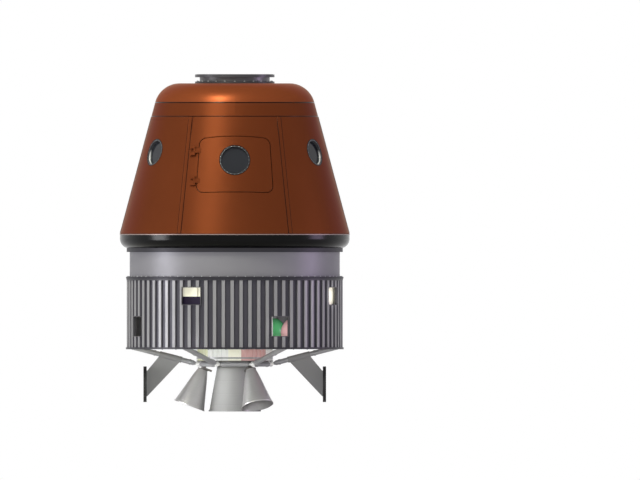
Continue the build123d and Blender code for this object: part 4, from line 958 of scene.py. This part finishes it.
gear_place = inner_face(0, GEAR_Z)
gear = turned("hatch_gearbox", [(0, -0.002), (GEAR_R, -0.002), (GEAR_R, 0.014), (GEAR_R - 0.012, 0.020),
                                (GEAR_R - 0.012, GEAR_H), (0.016, GEAR_H + 0.004), (0.016, GEAR_H + 0.018),
                                (0, GEAR_H + 0.018)], 48)
done(move_mesh(gear, gear_place), "hatch_body", "tube_grey", bevel=0.0015)
start, end = gear_place @ Vector((0, 0, GEAR_H + 0.014)), gear_place @ Vector(CRANK_END)
tip = gear_place @ Vector((*CRANK_TIP, GEAR_H + 0.070))
crank = bent_rod("hatch_crank", [start, start.lerp(end, 0.5), end, tip], 0.008)
done(crank, "hatch_body", "window_ring", angle=60)
knob = turned("hatch_crank_knob", [(0, 0), (0.015, 0), (0.019, 0.020), (0.018, 0.060), (0.012, 0.070), (0, 0.072)], 24)
done(move_mesh(knob, gear_place @ shift(*CRANK_TIP, GEAR_H + 0.040)), "hatch_body", "window_ring")

claws, rods, outline = [], [], [(point.x, point.z) for point in hatch_edge(-0.048, HATCH_T)]
for side in (-1, 1):
    for across, height in LATCHES:
        x, z = min(outline, key=lambda p: (p[0] - side * across) ** 2 + (p[1] - height) ** 2)
        size = (0.030, 0.050, 0.024) if abs(x) > 0.4 else (0.050, 0.030, 0.024)
        claws.append(block("claw", size, inner_face(x, z) @ shift(0, 0, 0.010), inset=0.005, sink=-0.004))
    lines = ([(x, GEAR_Z + 0.01 + 0.08 * x) for x in (0.05, 0.18, 0.32, 0.43)],
             [(0.435 - 0.05 * t, 3.13 + 0.40 * t) for t in (0, 0.5, 1)])
    for line in lines:
        rods.append(bent_rod("rod", [wall_point(side * x, z, HATCH_T + ROD_DEPTH) for x, z in line], LATCH_ROD_R))
done(joined("hatch_latches", claws), "hatch_body", "window_ring", bevel=0.003)
done(joined("hatch_latch_rods", rods), "hatch_body", "window_ring", angle=60)

# %% [markdown]
# The docking ring has a flange at its foot with 24 bolts, and a groove with a rubber seal in its upper face. The
# hatch in it has a handwheel on its hub. Its underside shows when it opens: a second seal, a hub plate, a rim
# and six ribs between them.

# %% Docking ring and its hatch
DOCK_FOOT_TOP, DOCK_TOP, DOCK_BOLTS_R = 4.455, 4.550, 0.505
HUB_TOP, LID_UNDER, WHEEL_R, WHEEL_ROD_R, SPOKE_R = 4.5093, 4.4513, 0.086, 0.009, 0.006

dock_places = around(24, DOCK_BOLTS_R, DOCK_FOOT_TOP)
done(scatter("dock_bolts", bolt(0.013, 0.002, 0.009, 0.010), dock_places), "root", "tube_grey")
dock_seal = turned("dock_seal", [(0.505, DOCK_TOP - 0.001), (0.508, DOCK_TOP + 0.003), (0.513, DOCK_TOP + 0.004),
                                 (0.518, DOCK_TOP + 0.003), (0.521, DOCK_TOP - 0.001)], 144)
done(dock_seal, "root", "shield_black", angle=60)
wheel = turned("lid_handwheel", [(WHEEL_R + WHEEL_ROD_R * cos(t), HUB_TOP + 0.020 + WHEEL_ROD_R * sin(t))
                                 for t in [2 * pi * i / 10 for i in range(10)]], 48)
spokes = [bent_rod("spoke", [ring_point(r, 180 + 120 * i, HUB_TOP + h)
                             for r, h in ((0.018, 0.016), (0.050, 0.016), (WHEEL_R, 0.020))], SPOKE_R)
          for i in range(3)]
done(joined("lid_handwheel", [wheel, *spokes]), "lid_body", "window_ring", angle=60)
hub_cap = turned("lid_hub_cap", [(0, HUB_TOP - 0.001), (0.030, HUB_TOP - 0.001), (0.030, HUB_TOP + 0.010),
                                 (0.020, HUB_TOP + 0.024), (0, HUB_TOP + 0.026)], 36)
done(hub_cap, "lid_body", "tube_grey", bevel=0.0015)
lid_seal = turned("lid_seal", [(0.350, LID_UNDER + 0.001), (0.352, LID_UNDER - 0.0002), (0.358, LID_UNDER - 0.0002),
                               (0.360, LID_UNDER + 0.001)], 120)
done(lid_seal, "lid_body", "shield_black", angle=60)
plate = turned("plate", [(0, LID_UNDER + 0.002), (0.080, LID_UNDER + 0.002), (0.080, LID_UNDER - 0.016),
                         (0.060, LID_UNDER - 0.024), (0, LID_UNDER - 0.024)], 48)
rim = turned("rim", [(0.300, LID_UNDER + 0.002), (0.320, LID_UNDER + 0.002), (0.320, LID_UNDER - 0.014),
                     (0.300, LID_UNDER - 0.018)], 96)
ribs = [block("rib", (0.016, 0.240, 0.022), swing(60 * i) @ shift(0, 0.190, LID_UNDER - 0.009) @ swing(180, "Y"),
              inset=0.004, sink=0.002) for i in range(6)]
done(joined("lid_under_plate", [plate, rim, *ribs]), "lid_body", "tube_grey", bevel=0.002)
print("docking pieces in place")

# %% [markdown]
# The adapter drum is bolted to the service module through its foot flange, and its skin is riveted to a ring
# inside at each end. The ribbed wall below has rivets in its valleys where the decks and rings stand behind it.
# They are tiny and there are hundreds, so one low eight-sided head serves for all.

# %% Bolts and rivets of the service module
ADAPTER_R, SKIN_R, HAT_COUNT, HAT_PHASE = 1.418, 1.432, 76, 3.4
ADAPTER_RIVETS, ADAPTER_RIVET_ZS = 96, (1.846, 2.128)
VALLEY_RIVET_ZS = (0.884, 0.900, 1.309, 1.331, 1.735, 1.752)
PORTS = (
    # first azimuth, height, width, height of the opening, repeated at each quarter
    (-24, 1.559, 0.272, 0.230),
    (25, 1.150, 0.250, 0.262),
)


def in_port(azimuth, z, room=0.03):
    """Whether a place on the wall falls in one of its ports or on a port's frame."""
    for port_azimuth, port_z, width, height in PORTS:
        away = radians(abs((azimuth - port_azimuth + 45) % 90 - 45)) * SKIN_R
        if away < width / 2 + room and abs(z - port_z) < height / 2 + room:
            return True
    return False


done(scatter("adapter_bolts", bolt(0.011, 0.002, 0.0075, 0.008, 8), around(HAT_COUNT, 1.446, 1.820, 1.0)),
     "root", "tube_grey")
skin_rivets = [outward(ADAPTER_R, i * 360 / ADAPTER_RIVETS, z) for i in range(ADAPTER_RIVETS) for z in ADAPTER_RIVET_ZS]
done(scatter("adapter_rivets", rivet(0.0045, 0.0018), skin_rivets), "root", "shell_grey")
valley_rivets = []
for azimuth in [HAT_PHASE + i * 360 / HAT_COUNT for i in range(HAT_COUNT)]:
    valley_rivets += [outward(SKIN_R, azimuth, z) for z in VALLEY_RIVET_ZS if not in_port(azimuth, z)]
done(scatter("valley_rivets", rivet(0.0055, 0.0022), valley_rivets), "root", "frame_grey")
base_places = [place @ swing(180, "X") for place in around(36, 1.385, 0.846, 5)]
done(scatter("base_bolts", bolt(0.013, 0.002, 0.009, 0.011), base_places), "root", "tube_grey")
print(len(valley_rivets), "rivets in the valleys")

# %% [markdown]
# Through the ports and from below, eight spherical tanks show. Each real one is two welded halves with a fitting
# at its top and bottom. One weld ring and one upper fitting are turned and copied to the tanks of each colour.
# The centre tube is wrapped in blankets, held by narrow straps.
# Narrow straps go round the centre tube.

# %% Tanks and tube
TANK_R, TANK_RING_R, TANK_Z, WELD_ROOT, WELD_EDGE, WELD_RISE = 0.210, 0.960, 1.068, 0.004, 0.0005, 0.0022
TANK_COLOURS = ("tank_silver", "tank_pink", "tank_cream", "tank_green")
STRAP_IN, STRAP_OUT, STRAP_H, STRAP_ZS = 0.512, 0.5165, 0.020, (0.712, 0.945, 1.46, 1.66)

for i, colour in enumerate(TANK_COLOURS):
    places = [swing(15 + 45 * (i + 4 * k)) @ shift(0, -TANK_RING_R, TANK_Z) for k in (0, 1)]
    weld = turned("weld", [(TANK_R - WELD_ROOT, -0.007), (TANK_R + WELD_EDGE, -0.007), (TANK_R + WELD_RISE, -0.003),
                           (TANK_R + WELD_RISE, 0.003), (TANK_R + WELD_EDGE, 0.007), (TANK_R - WELD_ROOT, 0.007)], 72)
    done(scatter(colour + "_welds", weld, places), "root", colour)
    boss = turned("boss", [(0, 0.203), (0.046, 0.203), (0.046, 0.211), (0.026, 0.217), (0.026, 0.226), (0, 0.226)], 32)
    done(scatter(colour + "_bosses", boss, places), "root", "window_ring", bevel=0.001)
straps = [turned("strap", [(STRAP_IN, z), (STRAP_OUT, z), (STRAP_OUT, z + STRAP_H), (STRAP_IN, z + STRAP_H)], 120)
          for z in STRAP_ZS]
done(joined("tube_straps", straps), "root", "tube_grey", bevel=0.0006, segments=1)

# %% [markdown]
# Under the service module, six struts run from the white joints out to the base ring, and six tubes join the
# joints to each other. Each rod is a tube with a fitting screwed into each end, so a collar shows there. One
# collar is turned and copied to both ends of every rod.

# %% Collars of the thrust frame
FRAME_R, FRAME_Z, BASE_FACE_Z, STRUT_FOOT_R = 0.485, 0.639, 0.846, 1.294
ROD_R, COLLAR_LEN, COLLAR_CHAMFER, STRUT_COLLARS, TUBE_COLLAR = 0.034, 0.026, 0.004, (0.110, 0.600), 0.095
STRUT_SLOPE = (BASE_FACE_Z - FRAME_Z) / (STRUT_FOOT_R - FRAME_R)

collar_places = []
for azimuth in range(30, 390, 60):
    corner, following = (ring_point(FRAME_R, azimuth + step, FRAME_Z) for step in (0, 60))
    strut_way = (way_out(azimuth) + Vector((0, 0, STRUT_SLOPE))).normalized()
    side_way, side_len = (following - corner).normalized(), (following - corner).length
    for way, alongs in ((strut_way, STRUT_COLLARS), (side_way, (TUBE_COLLAR, side_len - TUBE_COLLAR - COLLAR_LEN))):
        collar_places += [facing(corner + way * along, way) for along in alongs]
collar = turned("collar", [(ROD_R - 0.004, 0), (ROD_R + 0.0015, 0), (ROD_R + 0.0045, COLLAR_CHAMFER),
                           (ROD_R + 0.0045, COLLAR_LEN - COLLAR_CHAMFER), (ROD_R + 0.0015, COLLAR_LEN),
                           (ROD_R - 0.004, COLLAR_LEN)], 32)
done(scatter("rod_collars", collar, collar_places), "root", "tube_grey")

# %% [markdown]
# The four nozzles are thin bells of heat-proof sheet, and narrow hoops keep each bell round. The hoops follow
# the taper of the bell, so their sections are worked out from its radius at each place. The side bells are
# canted, so theirs are turned upright first and then laid on the canted line.

# %% Nozzle hoops
HOOP_ROOT, HOOP_SHOULDER = 0.003, 0.6
MAIN_EXIT_R, MAIN_TAPER, MAIN_HOOPS = 0.345, (0.345 - 0.237) / 0.603, (0.085, 0.240, 0.410, 0.585)
SIDE_EXIT_R, SIDE_TAPER, SIDE_HOOPS = 0.213, (0.213 - 0.108) / 0.390, (0.055, 0.170, 0.290, 0.375)
SIDE_AZIMUTHS, SIDE_CANT, SIDE_EXIT_RING_R, SIDE_EXIT_Z = (30, 150, 270), 20.5, 0.614, 0.077


def hoops(name, exit_r, taper, alongs, width, rise):
    """Hoops round a tapering bell, at distances up from its exit, as one piece."""
    pieces = []
    for along in alongs:
        low, high = along - width / 2, along + width / 2
        low_r, mid_r, high_r = (exit_r - taper * place for place in (low, along, high))
        section = [(low_r - HOOP_ROOT, low), (low_r + rise * HOOP_SHOULDER, low), (mid_r + rise, along),
                   (high_r + rise * HOOP_SHOULDER, high), (high_r - HOOP_ROOT, high)]
        pieces.append(turned("hoop", section, 96))
    return joined(name, pieces)


main_hoops = hoops("main_nozzle_hoops", MAIN_EXIT_R, MAIN_TAPER, MAIN_HOOPS, 0.010, 0.0032)
done(main_hoops, "root", "nozzle_metal", angle=25)
side_seed = hoops("side_hoops", SIDE_EXIT_R, SIDE_TAPER, SIDE_HOOPS, 0.008, 0.0026)
side_places = []
for azimuth in SIDE_AZIMUTHS:
    up_the_bell = way_out(azimuth + 180, radians(90 - SIDE_CANT))
    side_places.append(facing(ring_point(SIDE_EXIT_RING_R, azimuth, SIDE_EXIT_Z), up_the_bell))
done(scatter("side_nozzle_hoops", side_seed, side_places), "root", "nozzle_metal", material=side_bell, angle=25)
print(len(side_places), "canted nozzles")

# %% [markdown]
# Each disc antenna is a flat dish on a plate arm. Its outer face carries two shallow rings and a small feed in
# the middle, which show from the side.

# %% Antennas
DISC_FACE_X, DISC_Z, DISC_RINGS, RING_RISE = 1.219, 0.368, (0.195, 0.120), 0.007

disc_parts = [turned("ring", [(r - 0.006, -0.002), (r - 0.004, RING_RISE), (r + 0.004, RING_RISE), (r + 0.006, -0.002)],
                     72) for r in DISC_RINGS]
disc_parts.append(turned("feed", [(0, -0.002), (0.044, -0.002), (0.044, 0.004), (0.026, 0.010), (0.020, 0.014),
                                  (0, 0.014)], 48))
places = [facing((side * DISC_FACE_X, 0, DISC_Z), (side, 0, 0)) for side in (-1, 1)]
done(scatter("antenna_rings", joined("disc", disc_parts), places), "root", "antenna_grey", bevel=0.0008)

# %% [markdown]
# Cushion covers and webbing are woven. Two sets of fine waves cross each other, and the higher thread of the
# two shows, which gives a basket-like height. The pattern reads object coordinates, since each cushion lies
# nearly level in two of its directions. The screens are dark glass with a faint blue tint.

# %% Cloth, webbing and screens
def woven(name, colour, threads, bump):
    """A woven cloth whose threads lie a given number to the metre."""
    material = finish(name, colour, 0.85, specular=0.15, mottle=(0.10, 6.0), bump=0.0, patch=0.05)
    tree = material.node_tree
    inputs = {"Vector": make(tree, "TexCoord").outputs["Object"], "Scale": threads / (2 * pi), "Distortion": 0.3}
    heights = [make(tree, "TexWave", inputs, wave_type="BANDS", bands_direction=way, wave_profile="SIN").outputs["Fac"]
               for way in "XY"]
    thread = make(tree, "Bump", {"Height": maths(tree, "MAXIMUM", *heights), "Strength": bump, "Distance": BUMP_DEPTH})
    feed(tree, thread.outputs["Normal"], tree.nodes["Principled BSDF"].inputs["Normal"])
    return material


FINISHES["couch_fabric"] = woven("cushion_cover", (0.060, 0.085, 0.13), 320.0, 0.35)
webbing = woven("webbing", (0.42, 0.40, 0.36), 700.0, 0.30)
screen_glass = finish("screen_glass", (0.010, 0.016, 0.026), 0.12, specular=0.5, bump=0.0, patch=0.02)
print("cloth, webbing and screens")

# %% [markdown]
# The cabin shows through the open hatch. Three couches lie side by side, each with four cushions on its shell.
# A cushion is foam in a sewn cover, so cloth under pressure gives its crown and its pulled-in corners. Each is
# made a little small, swelled, and held back where it would pass its limit. The sewn channels come after, as
# soft grooves, because the even mesh that cloth needs can't hold a seam.

# %% Couch cushions
COUCH_XS = (-0.49, 0.0, 0.49)
PAD_W, PAD_T, PAD_LIFT, PAD_ROUNDING = 0.404, 0.062, 0.0123, 0.018
SHELL_LINE = ((-0.72, 2.70), (0.18, 2.70), (0.33, 3.08), (0.74, 3.08), (0.74, 3.24))
PADS = (
    # run of the shell, start and end along it, places of the sewn channels from the middle
    (0, 0.010, 0.190, (0.0,)),
    (0, 0.200, 0.850, (-0.21, -0.07, 0.07, 0.21)),
    (1, 0.060, 0.350, (-0.05, 0.05)),
    (2, 0.060, 0.340, (-0.05, 0.05)),
)
SMALLER, SWELL_CAP, SWELL_FRAMES, VOXEL, SEAT_GAP = 0.006, 0.010, 20, 0.012, 0.0005
CHANNEL_DEPTH, CHANNEL_W, CHANNEL_END, SEAM_DEPTH, SEAM_W, SEAM_REACH = 0.0065, 0.007, 0.03, 0.0022, 0.004, 0.02


def swell(piece):
    """Swells a pad with cloth pressure, caps how far each point moves, and keeps its underside flat."""
    before = [vertex.co.copy() for vertex in piece.data.vertices]
    cloth = piece.modifiers.new("swelling", "CLOTH")
    cloth.settings.use_pressure = True
    cloth.settings.uniform_pressure_force = 4.0
    cloth.settings.effector_weights.gravity = 0.0
    cloth.point_cache.frame_start, cloth.point_cache.frame_end = 1, SWELL_FRAMES
    for frame_number in range(1, SWELL_FRAMES + 1):
        scene.frame_set(frame_number)
    swollen = piece.evaluated_get(bpy.context.evaluated_depsgraph_get()).to_mesh()
    after = [vertex.co.copy() for vertex in swollen.vertices]
    piece.modifiers.remove(cloth)
    scene.frame_set(1)
    lowest = min(point.z for point in before)
    for vertex, start, end in zip(piece.data.vertices, before, after):
        step = end - start
        if step.length > SWELL_CAP:
            step *= SWELL_CAP / step.length
        vertex.co = start + step
        vertex.co.z = max(vertex.co.z, lowest - SMALLER + SEAT_GAP)


def bell(distance, width):
    """1 at no distance, and falling off softly within a width or two."""
    return exp(-((distance / width) ** 2))


def cushion(name, width, length, thickness, channels):
    """A sewn cushion about its own middle: Y is its length and Z its upper side."""
    size = [side - 2 * SMALLER for side in (width, length, thickness)]
    piece = sized(bpy.ops.mesh.primitive_cube_add, name, size)
    applied(piece, "BEVEL", width=PAD_ROUNDING, segments=3)
    piece.data.remesh_voxel_size = VOXEL
    bpy.ops.object.voxel_remesh()
    swell(piece)
    applied(piece, "SUBSURF", levels=1, render_levels=1)
    for vertex in piece.data.vertices:
        point = vertex.co
        side_edge, end_edge = width / 2 - abs(point.x), length / 2 - abs(point.y)
        if point.z > 0:
            near = max(bell(point.y - line, CHANNEL_W) for line in channels)
            point.z -= CHANNEL_DEPTH * near * min(1, max(0, side_edge / CHANNEL_END)) * (point.z / (thickness / 2))
        seam = SEAM_DEPTH * bell(point.z, SEAM_W)
        point.x -= seam * (1 if point.x > 0 else -1) * (side_edge < SEAM_REACH)
        point.y -= seam * (1 if point.y > 0 else -1) * (end_edge < SEAM_REACH)
    only(piece)
    bpy.ops.object.shade_smooth()
    return piece


def shell_place(run, along, lift):
    """A place on a couch's shell: local Y runs along it, Z up from it, at a distance along a run."""
    (y0, z0), (y1, z1) = SHELL_LINE[run], SHELL_LINE[run + 1]
    way = Vector((0, y1 - y0, z1 - z0)).normalized()
    up = X_WAY.cross(way)
    return axes(X_WAY, way, up, Vector((0, y0, z0)) + way * along + up * lift)


pads = []
for number, (run, start, end, channels) in enumerate(PADS):
    pad = cushion(f"pad_{number}", PAD_W, end - start, PAD_T, channels)
    pads.append(move_mesh(pad, shell_place(run, (start + end) / 2, PAD_LIFT + PAD_T / 2)))
couch_set = joined("couch_set", pads)
cushions = []
for name, x in zip(("left", "middle", "right"), COUCH_XS):
    copy = copied(couch_set, shift(x, 0, 0))
    copy.name = name + "_couch_cushions"
    cushions.append(done(copy, "root", "couch_fabric", angle=180))
    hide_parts("couch_pads")
bpy.data.objects.remove(couch_set)

# %% [markdown]
# Each couch has a harness: two shoulder straps, a lap belt and a round buckle. A strap is flat webbing that
# lies on the cushions, so it is a grid laid over them, wrapped down onto the surface and given its thickness.

# %% Harness
STRAP_W, STRAP_T, STRAP_LIFT, STRAP_STEP = 0.044, 0.0022, 0.0012, 0.012
SHOULDER_AT, SHOULDER_X, SHOULDER_TURN, SHOULDER_LEN = 0.52, 0.072, 0.09, 0.50
LAP_AT, LAP_LEN, BUCKLE_AT, BUCKLE_LIFT = 0.775, 0.36, 0.765, 0.006
BELT_TOP = PAD_LIFT + PAD_T + 0.002


def strap(place, length, cushion_piece):
    """Flat webbing over a cushion: local Y is its length."""
    rows = max(6, int(length / STRAP_STEP))
    piece = sized(bpy.ops.mesh.primitive_grid_add, "strap", (STRAP_W, length, 1), x_subdivisions=5, y_subdivisions=rows)
    move_mesh(piece, place)
    applied(piece, "SHRINKWRAP", target=cushion_piece, wrap_method="NEAREST_SURFACEPOINT", offset=STRAP_LIFT,
            wrap_mode="ABOVE_SURFACE")
    applied(piece, "SOLIDIFY", thickness=STRAP_T, offset=1.0)
    return piece


for x, padded in zip(COUCH_XS, cushions):
    couch, seat = padded.name.replace("cushions", ""), shift(x, 0, 0)
    straps = []
    for side in (-1, 1):
        lean = Matrix.Rotation(side * SHOULDER_TURN, 4, "Z")
        place = seat @ shell_place(0, SHOULDER_AT, BELT_TOP) @ shift(side * SHOULDER_X, 0, 0) @ lean
        straps.append(strap(place, SHOULDER_LEN, padded))
    straps.append(strap(seat @ shell_place(0, LAP_AT, BELT_TOP) @ swing(90), LAP_LEN, padded))
    done(joined(couch + "harness", straps), "root", "couch_fabric", material=webbing, angle=60)
    buckle = turned(couch + "buckle", [(0, 0), (0.036, 0), (0.036, 0.008), (0.030, 0.014), (0.012, 0.014),
                                       (0.012, 0.018), (0, 0.018)], 36)
    place = seat @ shell_place(0, BUCKLE_AT, BELT_TOP + BUCKLE_LIFT)
    done(move_mesh(buckle, place), "root", "window_ring", bevel=0.001)

# %% [markdown]
# The instrument console hangs over the crew's knees, facing their heads. In each of its three bays is a dark
# screen in a frame, with two rows of square keys under it.

# %% Console
CONSOLE_TILT, CONSOLE_MIDDLE, BAY_PITCH, BAY_DEPTH = radians(35), Vector((0, 0.36, 3.53)), 1.24 / 3, 0.012
KEY_ROWS, KEYS_IN_ROW, KEY_PITCH, ROW_PITCH, FIRST_KEY = 2, 9, 0.032, 0.030, (-0.128, -0.082)

way = way_out(0, -CONSOLE_TILT)
console_place = axes(X_WAY, way.cross(X_WAY), way, CONSOLE_MIDDLE)
bezels, keys = [], []
for bay in (-1, 0, 1):
    bay_place = console_place @ shift(bay * BAY_PITCH, 0, -BAY_DEPTH)
    bezels.append(block("bezel", (0.290, 0.180, 0.020), bay_place @ shift(0, 0.036, 0), 0.014, 0.004))
    keys += [bay_place @ shift(FIRST_KEY[0] + KEY_PITCH * i, FIRST_KEY[1] - ROW_PITCH * row, 0)
             for row in range(KEY_ROWS) for i in range(KEYS_IN_ROW)]
done(joined("console_screens", bezels), "root", "console_grey", material=screen_glass, bevel=0.0015)
key = block("key", (0.021, 0.018, 0.014), Matrix.Identity(4), inset=0.003, sink=0.0012)
done(scatter("console_keys", key, keys), "root", "window_ring", bevel=0.001, segments=1)
